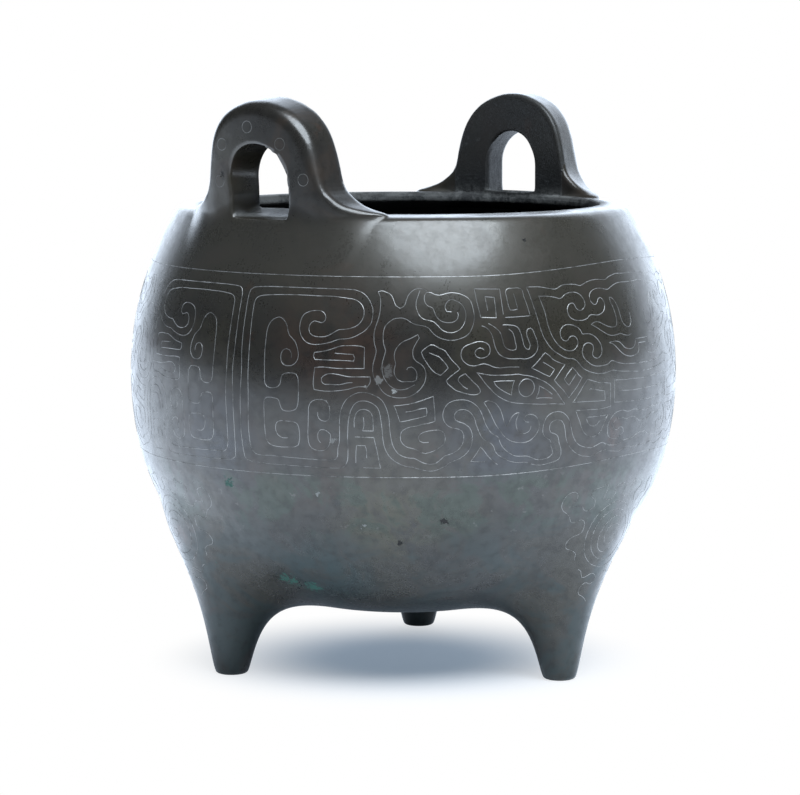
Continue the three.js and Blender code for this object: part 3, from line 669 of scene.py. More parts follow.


# Inlaid wire. Each line below was set on three overlapping panels of one half mask:
# a panel starts at its share of the quarter turn, left to right, and 1760 steps up are one band height
panelStart = {"a": -0.04, "b": 0.30, "c": 0.64}
panelStep = {"across": 4105, "up": 1760, "top": 1.06}
maskLines = {
    "frameLine": [("a", [(1190, 1450), (1183, 1560), (1172, 1600), (1167, 1640), (1164, 1675), (1150, 1703),
        (1100, 1712), (920, 1713), (800, 1710), (600, 1704), (500, 1700), (410, 1702), (345, 1692),
        (308, 1650), (293, 1560), (290, 1500), (292, 1337), (295, 1161), (290, 985), (288, 700), (285, 600),
        (284, 400), (288, 340), (305, 312), (340, 295), (390, 287), (470, 280), (600, 275), (800, 273),
        (950, 276), (1090, 277), (1240, 292), (1300, 300), (1345, 318), (1375, 345), (1393, 375),
        (1400, 420), (1393, 455), (1370, 495), (1340, 523), (1290, 545), (1230, 558), (1170, 563),
        (1120, 590), (1060, 620), (980, 628), (930, 620), (900, 600), (886, 565), (890, 530), (905, 508),
        (930, 492), (970, 500), (1010, 505), (1035, 490), (1041, 460), (1030, 430), (995, 406), (950, 402),
        (910, 404), (870, 415), (830, 435), (805, 470), (794, 520), (794, 570), (803, 600), (815, 625),
        (840, 657), (870, 680), (920, 694), (980, 695), (1030, 688), (1100, 672), (1180, 645), (1250, 640),
        (1320, 620), (1370, 595), (1410, 570), (1440, 540), (1465, 510), (1480, 450), (1480, 380),
        (1460, 330), (1435, 290), (1390, 250), (1320, 222), (1250, 215), (1100, 212), (900, 210),
        (600, 209), (380, 212), (300, 217), (240, 228), (217, 245), (207, 275), (203, 330), (203, 457),
        (203, 633), (207, 800), (214, 900), (215, 985), (207, 1161), (205, 1337), (203, 1500), (207, 1600),
        (213, 1690), (225, 1740), (265, 1762), (350, 1770), (600, 1780), (900, 1784), (1120, 1787),
        (1215, 1775), (1250, 1728), (1262, 1640), (1262, 1520), (1265, 1450)])],
    "tallHook": [("a", [(730, 818), (727, 778), (710, 752), (680, 742), (645, 755), (627, 785), (625, 825),
        (635, 860), (660, 883), (700, 890), (740, 885), (775, 860), (795, 820), (795, 770), (780, 720),
        (760, 680), (730, 650), (700, 625), (680, 590), (665, 540), (640, 505), (610, 480), (575, 470),
        (540, 480), (500, 505), (475, 545), (463, 600), (460, 700), (458, 760), (460, 860), (465, 950),
        (467, 1020), (475, 1060), (490, 1080), (520, 1091), (560, 1091), (600, 1080), (625, 1055),
        (633, 1020), (640, 985), (655, 965), (690, 955), (740, 952), (780, 960), (798, 985), (805, 1030),
        (807, 1100), (807, 1170), (800, 1230), (785, 1265), (750, 1285), (700, 1292), (650, 1282),
        (630, 1250), (622, 1220), (605, 1190), (570, 1180), (520, 1176), (485, 1182), (468, 1200),
        (463, 1240), (463, 1340), (463, 1440), (467, 1500), (475, 1555), (510, 1600), (560, 1612),
        (620, 1617), (700, 1613), (760, 1608), (790, 1595), (805, 1560), (812, 1513), (810, 1460),
        (800, 1415), (775, 1390), (740, 1383), (680, 1380), (620, 1382), (590, 1397), (577, 1430),
        (578, 1470), (590, 1500), (620, 1525), (660, 1533), (700, 1530)])],
    "smallHook": [("a", [(990, 1290), (990, 1320), (1000, 1345), (1020, 1360), (1050, 1368), (1085, 1358),
        (1100, 1330), (1103, 1290), (1100, 1240), (1085, 1205), (1050, 1180), (1010, 1176), (965, 1182),
        (920, 1210), (905, 1250), (902, 1310), (898, 1400), (893, 1480), (893, 1540), (905, 1590),
        (925, 1615), (955, 1628), (990, 1635), (1030, 1630), (1065, 1615), (1085, 1590), (1100, 1550),
        (1107, 1510), (1103, 1480), (1085, 1465), (1050, 1445), (1020, 1443), (995, 1465), (985, 1500),
        (990, 1535), (1010, 1562)])],
    "meander": [("a", [(1145, 768), (1310, 775), (1325, 800), (1316, 832), (1260, 830), (960, 826),
        (945, 800), (952, 765), (1080, 742), (1150, 718), (1200, 703), (1260, 700), (1370, 702),
        (1413, 712), (1413, 895), (1300, 897), (1160, 898), (1020, 890), (960, 895), (950, 985),
        (950, 1060), (958, 1090), (1040, 1100), (1120, 1100), (1200, 1092), (1270, 1080), (1340, 1060),
        (1400, 1055), (1440, 1063), (1470, 1010), (1468, 968), (1300, 970), (1040, 970), (1025, 985),
        (1025, 1015), (1040, 1035), (1100, 1040), (1200, 1040), (1260, 1025), (1310, 1020)])],
    "archInner": [("a", [(1325, 1415), (1325, 1360), (1335, 1310), (1355, 1275), (1385, 1258), (1420, 1255),
        (1460, 1270), (1485, 1300), (1493, 1350), (1495, 1445), (1400, 1445), (1412, 1400), (1408, 1325)])],
    "doorInner": [("a", [(1432, 1690), (1430, 1610), (1420, 1578), (1343, 1576), (1335, 1640),
        (1332, 1735)])],
    "doorOuter": [("a", [(1330, 1500), (1500, 1505), (1520, 1590), (1540, 1690), (1557, 1780),
        (1400, 1778)])],
    "jawOuter": [("a", [(1190, 1450), (1192, 1340), (1205, 1265), (1230, 1205), (1270, 1155),
        (1310, 1130), (1360, 1108), (1410, 1105)]), ("b", [(65, 1112), (110, 1130), (150, 1150),
        (180, 1175), (205, 1215), (225, 1265), (240, 1330), (245, 1400), (250, 1450), (257, 1500),
        (270, 1560), (290, 1605), (320, 1645), (360, 1670), (410, 1685), (470, 1692), (490, 1700),
        (520, 1718), (560, 1735), (610, 1744), (650, 1740), (690, 1718), (720, 1690), (745, 1670),
        (780, 1660), (820, 1645), (855, 1625), (885, 1595), (905, 1560), (913, 1513), (910, 1480),
        (895, 1452), (870, 1435), (830, 1425), (790, 1415), (760, 1395), (735, 1365), (722, 1330),
        (720, 1290), (730, 1255), (750, 1220), (780, 1195), (820, 1180), (870, 1173), (920, 1175),
        (970, 1190), (1010, 1215), (1045, 1250), (1070, 1290), (1090, 1337), (1110, 1390), (1140, 1440),
        (1180, 1485), (1220, 1505), (1240, 1520), (1250, 1550), (1270, 1590), (1300, 1625),
        (1345, 1660), (1385, 1683), (1425, 1697)]), ("c", [(80, 1699), (140, 1702), (190, 1720),
        (230, 1737), (280, 1742), (350, 1735), (385, 1718), (410, 1690), (400, 1660), (385, 1630),
        (378, 1595), (365, 1570), (330, 1550), (300, 1525), (285, 1490), (285, 1450), (297, 1400),
        (325, 1355), (370, 1328), (430, 1318), (490, 1328), (530, 1355), (565, 1395), (585, 1430),
        (593, 1465), (605, 1500), (625, 1550), (650, 1590), (680, 1620), (705, 1637), (750, 1655),
        (810, 1670), (870, 1675), (930, 1660), (1000, 1640), (1060, 1660), (1120, 1675), (1200, 1678),
        (1270, 1668), (1350, 1645), (1420, 1645), (1480, 1635), (1520, 1615), (1560, 1602)])],
    "jawInner": [("a", [(1265, 1450), (1275, 1340), (1290, 1280), (1310, 1235), (1340, 1200),
        (1375, 1183)]), ("b", [(25, 1180), (60, 1187), (100, 1205), (135, 1235), (155, 1275), (165, 1330),
        (175, 1400), (180, 1450), (185, 1513), (195, 1575), (215, 1630), (245, 1675), (290, 1715),
        (340, 1745), (400, 1765), (450, 1770), (500, 1785), (560, 1800), (610, 1808), (660, 1803),
        (710, 1785), (755, 1760), (790, 1735), (830, 1718), (880, 1697), (930, 1665), (965, 1625),
        (985, 1580), (993, 1520), (988, 1470), (970, 1430), (940, 1400), (900, 1378), (860, 1365),
        (835, 1350), (823, 1325), (828, 1295), (850, 1272), (885, 1260), (925, 1262), (960, 1280),
        (990, 1310), (1010, 1345), (1025, 1400), (1045, 1445), (1065, 1490), (1090, 1525), (1130, 1552),
        (1170, 1572), (1195, 1600), (1212, 1640), (1240, 1675), (1270, 1695), (1310, 1715), (1350, 1735),
        (1400, 1750), (1450, 1757), (1520, 1758)]), ("c", [(190, 1778), (250, 1790), (320, 1792),
        (380, 1782), (440, 1770), (480, 1755), (500, 1725), (502, 1680), (490, 1640), (470, 1600),
        (460, 1560), (440, 1530), (405, 1512), (370, 1500), (355, 1475), (355, 1445), (370, 1415),
        (400, 1398), (440, 1392), (480, 1402), (505, 1430), (525, 1480), (535, 1530), (550, 1580),
        (580, 1630), (625, 1675), (680, 1712), (740, 1738), (800, 1750), (870, 1755), (940, 1740),
        (1000, 1722), (1045, 1712), (1120, 1728), (1200, 1738), (1270, 1745), (1330, 1728), (1400, 1712),
        (1450, 1720), (1540, 1722)])],
    "earCrest": [("b", [(398, 300), (410, 270), (440, 235), (480, 210), (520, 205), (560, 212),
        (590, 224)])],
    "earLobe": [("b", [(130, 232), (160, 225), (205, 235), (240, 250), (265, 275), (280, 310), (300, 350),
        (340, 375), (375, 355), (398, 300)])],
    "earRibbon": [("b", [(132, 236), (150, 270), (157, 320), (155, 370), (150, 420), (130, 490), (110, 550),
        (103, 600), (108, 680), (125, 740), (115, 790), (100, 850), (96, 920), (108, 975), (130, 1010),
        (150, 1045), (180, 1090), (215, 1120), (260, 1140), (330, 1150), (400, 1145), (450, 1125),
        (490, 1100), (530, 1060), (555, 1020), (568, 970), (568, 930), (555, 890), (530, 860), (490, 835),
        (465, 810), (453, 775), (455, 730), (470, 695), (495, 655), (512, 630), (500, 600), (480, 610),
        (440, 630), (390, 650), (350, 670), (320, 700), (295, 740), (287, 780), (292, 820), (300, 850),
        (290, 890), (287, 930), (300, 965), (325, 995), (355, 1008), (400, 1006), (450, 1008), (478, 998),
        (488, 965), (487, 930), (470, 900), (440, 880), (412, 884), (398, 905)])],
    "earVolute": [("b", [(590, 238), (630, 240), (665, 256), (710, 263), (770, 250), (830, 243), (890, 251),
        (935, 265), (980, 290), (1005, 320), (1020, 370), (1028, 420), (1025, 480), (1005, 540), (980, 585),
        (940, 618), (890, 638), (840, 650), (790, 652), (740, 643), (700, 630), (650, 600), (622, 570),
        (600, 545), (570, 530), (520, 520), (480, 513), (440, 495), (400, 470), (370, 458), (320, 458),
        (280, 465), (240, 490), (205, 525), (188, 570), (185, 620), (190, 680), (208, 740), (195, 790),
        (180, 850), (178, 900), (190, 960), (215, 1005), (250, 1045), (290, 1070), (340, 1080), (400, 1070),
        (440, 1050), (470, 1035)])],
    "voluteOne": [("b", [(525, 222), (505, 270), (490, 310), (485, 350), (495, 395), (520, 440), (550, 465),
        (600, 478), (645, 490), (680, 520), (720, 560), (760, 580), (810, 587), (860, 575), (905, 545),
        (935, 500), (950, 450), (948, 400), (930, 360), (900, 330), (860, 312), (825, 300), (790, 313),
        (765, 340), (757, 375), (770, 402), (815, 408)])],
    "voluteTwo": [("b", [(590, 238), (570, 260), (565, 290), (575, 330), (600, 355), (640, 370), (655, 400),
        (665, 430), (690, 465), (730, 490), (790, 500), (840, 490), (870, 465), (880, 435), (872, 412)])],
    "slantedKey": [("b", [(600, 758), (640, 775), (690, 795), (725, 830), (755, 865), (768, 893),
        (735, 925), (700, 955), (650, 930), (610, 890), (575, 840), (545, 790), (530, 750), (545, 735),
        (585, 705), (620, 688), (690, 718), (740, 740), (775, 785), (810, 830), (850, 870), (875, 903),
        (840, 930), (790, 965), (748, 1003), (765, 1030), (800, 1060), (835, 1088), (880, 1105),
        (930, 1120), (980, 1130), (1030, 1130), (1055, 1120), (1062, 1100), (1045, 1065), (1000, 1020),
        (960, 980), (925, 945), (900, 955), (860, 985), (858, 1000), (880, 1030), (910, 1060),
        (945, 1080)])],
    "browSpiral": [("b", [(1105, 742), (1085, 726), (1050, 728), (1025, 745), (1017, 770), (1030, 795),
        (1060, 810), (1100, 810), (1135, 795), (1158, 765), (1162, 735), (1150, 700), (1120, 678),
        (1070, 668), (1020, 675), (970, 690), (930, 705), (900, 735), (888, 775), (897, 815), (920, 845),
        (960, 870), (1010, 878), (1060, 868), (1100, 862), (1150, 875), (1190, 893), (1250, 902),
        (1330, 898), (1435, 902)])],
    "squareKeyOne": [("b", [(1163, 402), (1148, 283), (1240, 290), (1243, 400), (1242, 468), (1090, 460),
        (1078, 400), (1062, 310), (1050, 213), (1200, 218), (1305, 220), (1308, 300), (1315, 440)])],
    "squareKeyTwo": [("b", [(1443, 265), (1455, 330), (1468, 398), (1420, 405), (1390, 405), (1376, 370),
        (1368, 300), (1365, 240), (1378, 224), (1430, 218), (1515, 221)]), ("c", [(135, 228), (150, 290),
        (170, 360), (192, 460), (100, 463), (0, 466)]), ("b", [(1330, 465)])],
    "waveOuter": [("b", [(1300, 530), (1350, 532), (1410, 540), (1445, 555), (1465, 590), (1480, 640),
        (1488, 690), (1500, 725), (1525, 750)]), ("c", [(150, 750), (163, 715), (150, 670), (138, 635),
        (138, 600), (150, 575), (180, 567), (200, 580), (215, 620), (235, 670), (242, 715), (235, 755),
        (210, 790), (170, 818), (110, 833), (50, 828)]), ("b", [(1385, 828), (1330, 822), (1280, 805),
        (1245, 780), (1220, 740), (1205, 690), (1195, 640), (1180, 600), (1155, 565), (1130, 545),
        (1095, 532)])],
    "waveInner": [("b", [(1160, 515), (1200, 535), (1240, 565), (1265, 590), (1280, 630), (1290, 680),
        (1305, 720), (1340, 745), (1380, 753), (1410, 748), (1418, 730), (1412, 690), (1405, 640),
        (1390, 595), (1355, 568)])],
    "eyeOutline": [("b", [(1030, 938), (1110, 955), (1160, 963), (1250, 967), (1350, 967),
        (1450, 968)]), ("c", [(60, 970), (120, 980), (190, 998), (250, 1022), (310, 1050), (360, 1085),
        (400, 1120), (440, 1165), (480, 1215), (515, 1257), (400, 1245), (300, 1243), (200, 1237),
        (100, 1228), (0, 1218)]), ("b", [(1310, 1195), (1250, 1165), (1200, 1130), (1150, 1080),
        (1100, 1025), (1060, 970)])],
    "eyeCorner": [("b", [(1188, 1020), (1240, 1018), (1387, 1020), (1370, 1060), (1360, 1110), (1355, 1147),
        (1310, 1125), (1250, 1090), (1205, 1052)])],
    "eyeInnerCorner": [("c", [(375, 1160), (355, 1145), (320, 1120), (280, 1098), (240, 1078), (235, 1115),
        (222, 1155), (205, 1187), (275, 1184), (375, 1193)])],
    "boxAndScroll": [("b", [(390, 1275), (460, 1265), (520, 1248), (572, 1240), (578, 1280), (576, 1308),
        (520, 1325), (450, 1340), (390, 1355), (338, 1362), (320, 1310), (300, 1250), (285, 1220),
        (350, 1215), (420, 1205), (500, 1185), (570, 1160), (635, 1138), (640, 1200), (648, 1280),
        (650, 1358), (600, 1375), (540, 1385), (480, 1400), (420, 1412), (375, 1430), (350, 1455),
        (342, 1500), (350, 1540), (375, 1570), (410, 1592), (450, 1600), (490, 1615), (530, 1640),
        (570, 1645), (620, 1632), (690, 1597), (725, 1570), (740, 1540), (743, 1500), (735, 1470),
        (715, 1448), (685, 1438), (630, 1440), (570, 1450), (530, 1465), (507, 1485), (503, 1510),
        (515, 1535), (545, 1548), (595, 1545)])],
    "smallTriangle": [("b", [(1245, 1765), (1180, 1715), (1140, 1675), (1100, 1625), (1070, 1597),
        (1040, 1650), (1005, 1700), (985, 1727), (1060, 1733), (1120, 1735)])],
    "heartScroll": [("b", [(1530, 1395), (1500, 1390), (1480, 1368), (1490, 1345), (1520, 1328)]), ("c", [
        (170, 1327), (205, 1345), (232, 1380), (243, 1425), (238, 1465), (215, 1510), (180, 1545),
        (140, 1568), (90, 1577)]), ("b", [(1440, 1573), (1400, 1568), (1350, 1550), (1300, 1515),
        (1260, 1470), (1220, 1420), (1180, 1350), (1150, 1290), (1120, 1240), (1095, 1203), (1130, 1188),
        (1165, 1195), (1205, 1215), (1240, 1255), (1265, 1310), (1285, 1370), (1305, 1415), (1322, 1428),
        (1335, 1395), (1355, 1350), (1390, 1315), (1430, 1305), (1420, 1335), (1405, 1370), (1403, 1405),
        (1415, 1450), (1440, 1482), (1480, 1495), (1520, 1487), (1548, 1460), (1556, 1430)])],
    "hornOuter": [("c", [(1510, 1035), (1430, 1027), (1350, 1020), (1260, 1013), (1180, 1003), (1110, 993),
        (1060, 1003), (1000, 1010), (940, 1010), (880, 1003), (820, 988), (770, 970), (725, 945),
        (690, 910), (660, 880), (625, 860), (560, 852), (510, 835), (465, 810), (420, 785), (375, 745),
        (340, 700), (310, 650), (290, 590), (270, 510), (255, 440), (240, 380), (225, 320), (205, 250),
        (190, 213), (250, 212), (330, 215), (400, 225), (460, 235), (505, 241), (540, 235), (580, 218),
        (640, 207), (700, 207), (770, 212), (835, 225), (870, 215), (930, 198), (1000, 186), (1070, 182),
        (1150, 187), (1210, 190), (1260, 172), (1330, 158), (1400, 149), (1480, 150), (1540, 152)])],
    "hornInner": [("c", [(1540, 960), (1480, 958), (1390, 955), (1300, 948), (1230, 938), (1160, 920),
        (1110, 905), (1055, 930), (1000, 940), (940, 943), (880, 938), (820, 915), (770, 880), (740, 845),
        (732, 805), (745, 765), (770, 738), (805, 728), (845, 735), (872, 755), (875, 785), (860, 815),
        (856, 840), (872, 858), (905, 870), (940, 865), (970, 840), (983, 800), (975, 755), (950, 715),
        (910, 680), (860, 655), (810, 648), (755, 648), (730, 605), (690, 578), (640, 560), (590, 555),
        (550, 562), (515, 585), (497, 615), (498, 655), (520, 688), (550, 698), (575, 690), (595, 668),
        (625, 657), (660, 663), (685, 690), (688, 725), (672, 755), (640, 778), (600, 787), (550, 780),
        (505, 760), (465, 730), (430, 690), (400, 640), (378, 580), (365, 520), (358, 460), (345, 400),
        (325, 335), (312, 295), (380, 297), (440, 303), (500, 313), (550, 325), (575, 318), (610, 295),
        (650, 283), (710, 277), (760, 282), (800, 300), (830, 330), (845, 365), (840, 400), (815, 425),
        (780, 440), (745, 435), (722, 415), (712, 388), (695, 372), (670, 372), (640, 383), (622, 405),
        (612, 440), (618, 470), (640, 498), (680, 518), (740, 526), (800, 525), (850, 510), (890, 485),
        (930, 487), (985, 492), (1040, 482), (1085, 458), (1108, 420), (1110, 385), (1095, 358),
        (1065, 342), (1035, 352), (1015, 380), (990, 398), (960, 397), (935, 380), (922, 350), (925, 315),
        (950, 290), (990, 270), (1050, 260), (1110, 262), (1160, 272), (1205, 277), (1260, 260),
        (1320, 242), (1390, 230), (1450, 227), (1540, 230)])],
    "leafOne": [("c", [(1483, 500), (1483, 540), (1475, 590), (1455, 615), (1420, 625), (1380, 615),
        (1345, 590), (1325, 550), (1315, 500), (1305, 450), (1285, 405), (1260, 370), (1230, 350),
        (1203, 348), (1203, 385), (1225, 430), (1240, 480), (1247, 540), (1243, 580), (1225, 605),
        (1190, 612), (1140, 608), (1090, 595), (1040, 575), (990, 555), (940, 550), (880, 569), (940, 597),
        (1040, 650), (1100, 675), (1160, 685), (1220, 682), (1275, 675), (1330, 690), (1400, 700),
        (1450, 692)])],
    "leafTwo": [("c", [(1510, 740), (1500, 780), (1470, 810), (1420, 822), (1350, 815), (1310, 800),
        (1270, 765), (1230, 745), (1180, 737), (1130, 740), (1090, 745), (1140, 757), (1190, 790),
        (1240, 830), (1300, 865), (1370, 885), (1440, 888), (1490, 880), (1530, 870), (1555, 830),
        (1560, 780)])],
    "bridgeKeys": [("c", [(805, 1148), (810, 1138), (860, 1145), (930, 1160), (995, 1172), (1002, 1210),
        (1002, 1257), (900, 1255), (800, 1250), (605, 1245), (640, 1210), (680, 1163), (735, 1095),
        (780, 1052), (850, 1070), (930, 1090), (1000, 1097), (1077, 1107), (1080, 1180), (1078, 1260),
        (1086, 1315), (1020, 1323), (940, 1328), (860, 1328), (780, 1325), (637, 1321), (660, 1365),
        (690, 1420), (715, 1475), (745, 1520), (790, 1555), (850, 1575), (910, 1568), (955, 1545),
        (985, 1505), (1010, 1455), (1035, 1410), (1057, 1391), (990, 1392), (900, 1393), (765, 1393),
        (785, 1430), (815, 1465), (860, 1478), (905, 1470), (930, 1450), (945, 1435)])],
    "diamondKeys": [("c", [(285, 870), (340, 900), (405, 940), (380, 970), (350, 1000), (290, 975),
        (220, 940), (163, 915), (210, 880), (260, 835), (312, 788), (350, 812), (390, 850), (440, 875),
        (522, 903), (480, 945), (440, 990), (398, 1035), (440, 1080), (490, 1125), (530, 1170), (558, 1203),
        (600, 1160), (650, 1110), (690, 1060), (713, 1033), (670, 1000), (640, 965), (605, 933), (570, 965),
        (530, 1005), (508, 1033), (530, 1065), (560, 1090), (600, 1045), (645, 995)])],
    "clawScroll": [("c", [(1555, 1395), (1500, 1380), (1440, 1375), (1380, 1385), (1330, 1383),
        (1270, 1368), (1210, 1370), (1150, 1387), (1100, 1425), (1070, 1465), (1058, 1510), (1065, 1560),
        (1095, 1600), (1140, 1618), (1190, 1622), (1240, 1610), (1280, 1590), (1300, 1568), (1292, 1535),
        (1265, 1520), (1230, 1522), (1195, 1537), (1160, 1530), (1140, 1505), (1145, 1470), (1175, 1445),
        (1220, 1435), (1280, 1437), (1340, 1452), (1400, 1440), (1460, 1443), (1510, 1465), (1545, 1485)])],
    "noseBox": [("c", [(1600, 1100), (1500, 1096), (1400, 1092), (1280, 1093), (1200, 1086), (1135, 1085),
        (1135, 1150), (1135, 1220), (1140, 1286), (1230, 1288), (1320, 1290), (1400, 1296), (1500, 1298),
        (1600, 1298)])],
    "noseBar": [("c", [(1190, 1188), (1300, 1190), (1450, 1197), (1600, 1195)])],
}
closedLines = {"eyeCorner", "eyeOutline"}

wireForm = {
    "radius": 0.115, "sink": 0.075, "step": 0.55, "lowerBorder": 53.1, "upperBorder": 97.75,
    "noseShare": 1.037, "noseLift": 1.8, "liftReach": 44.0, "pupilRadius": 2.0,
    "pupilAcross": 0.6666, "pupilUp": 0.436, "roundelHeight": 34.6, "roundelRadius": 58.9,
    "ringletRadius": 1.35, "noseFrom": 1.005, "bandRise": 44.65, "bandShape": 2.3, "quarterRun": 104,
    "search": (20.0, 80.0, 26), "ringletSearch": (50.0, 60.0, 20), "pupilSteps": 32, "borderSteps": 720,
    "whorlStep": 0.4, "whorlSteps": 90, "ringletSteps": 28,
}

# where each half mask starts, how far it turns, and the nodes that it stands for
halfMasks = {
    "front_left": (180.0, 93.33), "front_right": (360.0, -86.67),
    "back_right": (0.0, 90.0), "back_left": (180.0, -90.0),
}
maskNodes = ["frame_outer", "frame_inner", "eye", "jaw", "brow", "pupil"]

# whorl over each leg: lines in millimetres across and up from the middle of the roundel
whorlLines = {
    "cloudLow": [(-2, -15), (-3, -14.1), (-4, -13.5), (-5.2, -12.9), (-5.6, -12), (-5.4, -11.2), (-5, -10.6),
                 (-4.3, -10.2), (-3.4, -10.4), (-2.4, -10.7), (-1.6, -10.2), (-1.2, -9.4), (-1.6, -8.6),
                 (-2.3, -8.2), (-3.2, -8), (-4, -8.3), (-5, -8.7), (-5.9, -8.8), (-6.4, -8.2), (-6.8, -7.4),
                 (-7.3, -6.9), (-8, -6.6)],
    "cloudSide": [(-10, -4.3), (-10.3, -3.6), (-10.4, -2.8), (-11, -2.1), (-12.2, -1.5), (-13.3, -1.2),
                  (-14, -0.6), (-14.3, 0.4), (-13.8, 1.3), (-13.2, 1.8), (-12.3, 2.1), (-11.3, 2.4),
                  (-10.6, 3), (-10.4, 3.8), (-10.4, 4.8), (-10.8, 5.5), (-11.8, 5.9), (-12.8, 5.6),
                  (-13.6, 5.4), (-14.6, 5.6), (-15.2, 6.4), (-15.8, 7.2), (-16.8, 7.9), (-18, 8.6),
                  (-18.9, 9.8), (-18.8, 11.4), (-18, 12.5), (-16.8, 13), (-15.6, 12.8), (-14.9, 12),
                  (-15, 10.9), (-15.6, 10), (-15.4, 9.3), (-14.4, 9.3), (-13.2, 9.4), (-12.4, 9.1),
                  (-11.9, 8.5), (-11.2, 8), (-10.2, 7.9), (-9.2, 8.2), (-8.5, 8.8), (-8.4, 9.7),
                  (-8.9, 10.5), (-9.8, 11), (-10.5, 11.6), (-10.6, 12.2), (-10, 12.9), (-9, 13.1),
                  (-7.5, 13.3), (-6.2, 13.9), (-5.5, 13.5), (-5.4, 12.4), (-5.7, 11.4), (-5.3, 10.4),
                  (-4.4, 9.9), (-3.2, 9.9), (-2.2, 10.3), (-1.7, 11), (-1.9, 11.9), (-2.1, 12.7),
                  (-1.4, 13.2), (0, 13.4)],
    "whorlOuter": [(4.6, 4.6), (3, 5.3), (1.4, 5.6), (-0.6, 5.3), (-2.4, 4.5), (-4, 3.2), (-4.8, 1.6),
                   (-4.9, 0.2), (-4.5, -1.2), (-3.6, -2.2), (-2.2, -2.8), (-0.6, -2.7), (0.8, -2.2)],
    "whorlInner": [(2.6, 3.2), (1, 3.5), (-0.8, 3.4), (-2.2, 2.8), (-2.9, 1.6), (-2.8, 0.5), (-2.3, -0.6),
                   (-1.2, -0.9), (0.4, -0.8), (1.6, 0), (1.2, 0.9), (0.2, 1.3), (-0.8, 0.9)],
}
whorlRings = [(9.1, 7.8), (7.2, 6.0)]
whorlCentreUp = 1.2

# ringlets on a handle's outer face: across and up, in millimetres
ringlets = {1: (-1.7, 130.5), 2: (-9.8, 126.4), 3: (6.9, 126.8), 4: (12.0, 118.9), 5: (-11.8, 118.0)}


def onCast(azimuths, heights):
    # points a little under the cast surface, at the given turns and heights
    turns = np.radians(azimuths)
    flat = np.zeros(len(turns))
    outward = np.stack([np.cos(turns), np.sin(turns), flat], 1)
    level = np.stack([flat, flat, heights], 1)
    reach = surfaceReach(bodyField, lambda out: level + outward * out[:, None], len(turns),
                         *wireForm["search"])
    points = level + outward * reach[:, None]
    slope = slopeOf(bodyField, points)
    slope /= np.linalg.norm(slope, axis=1, keepdims=True)
    return points - slope * wireForm["sink"]


def noseLift(azimuths):
    away = np.abs(np.asarray(azimuths) - (180 + 90 * wireForm["noseShare"]))
    return wireForm["noseLift"] * (1 - smoothStep(away, 0, wireForm["liftReach"]))


bandHeight = wireForm["upperBorder"] - wireForm["lowerBorder"]


def maskPoints(azimuths, ups):
    return onCast(azimuths, wireForm["lowerBorder"] + bandHeight * ups + noseLift(azimuths))


def traced(name):
    nose = wireForm["noseShare"]
    points = []
    for panel, run in maskLines[name]:
        for x, y in run:
            across = panelStart[panel] + x / panelStep["across"]
            up = panelStep["top"] - y / panelStep["up"]
            up -= wireForm["noseLift"] / bandHeight * float(
                smoothStep(across, nose - wireForm["liftReach"] / 90, nose))
            points.append((across, up))
    # a line that comes near the nose runs on to its middle
    for index in (0, -1):
        if points[index][0] > wireForm["noseFrom"]:
            end = (nose, points[index][1])
            points = [end] + points if index == 0 else points + [end]
    return points


def wirePiece(name, lines):
    # one mesh of fine round wire along many lines
    curve = bpy.data.curves.new(name, "CURVE")
    curve.dimensions = "3D"
    curve.bevel_depth = wireForm["radius"]
    curve.bevel_resolution = 1
    curve.use_fill_caps = True
    for points, closed in lines:
        spline = curve.splines.new("POLY")
        spline.points.add(len(points) - 1)
        spline.points.foreach_set("co", np.c_[points, np.ones(len(points))].astype(np.float32).ravel())
        spline.use_cyclic_u = closed
    shaped = bpy.data.objects.new(name + "_line", curve)
    scene.collection.objects.link(shaped)
    graph = bpy.context.evaluated_depsgraph_get()
    mesh = bpy.data.meshes.new_from_object(shaped.evaluated_get(graph))
    bpy.data.objects.remove(shaped)
    piece = bpy.data.objects.new(name, mesh)
    mesh.name = name
    scene.collection.objects.link(piece)
    return piece


smoothMask = []
for name in maskLines:
    closed = name in closedLines
    line = smoothLine(traced(name), wireForm["step"] / wireForm["bandRise"], closed,
                      stretch=(wireForm["bandShape"], 1))
    smoothMask.append((line[:-1] if closed else line, closed))

wires = {}
for half, (start, span) in halfMasks.items():
    turnOf = span / wireForm["noseShare"]
    lines = [(maskPoints(start + turnOf * line[:, 0], line[:, 1]), closed) for line, closed in smoothMask]
    turns = ringTurns(wireForm["pupilSteps"])
    azimuths = start + turnOf * (wireForm["pupilAcross"]
                                 + wireForm["pupilRadius"] / wireForm["quarterRun"] * np.cos(turns))
    ups = wireForm["pupilUp"] + wireForm["pupilRadius"] / bandHeight * np.sin(turns)
    lines.append((maskPoints(azimuths, ups), True))
    wires["inlay_mask_" + half] = (lines, ["wire_%s_%s" % (part, half) for part in maskNodes])

for name, height in (("lower", wireForm["lowerBorder"]), ("upper", wireForm["upperBorder"])):
    azimuths = np.linspace(0, 360, wireForm["borderSteps"], endpoint=False)
    ring = onCast(azimuths, height + noseLift(azimuths))
    wires["inlay_border_" + name] = ([(ring, True)], ["border_wire_" + name])

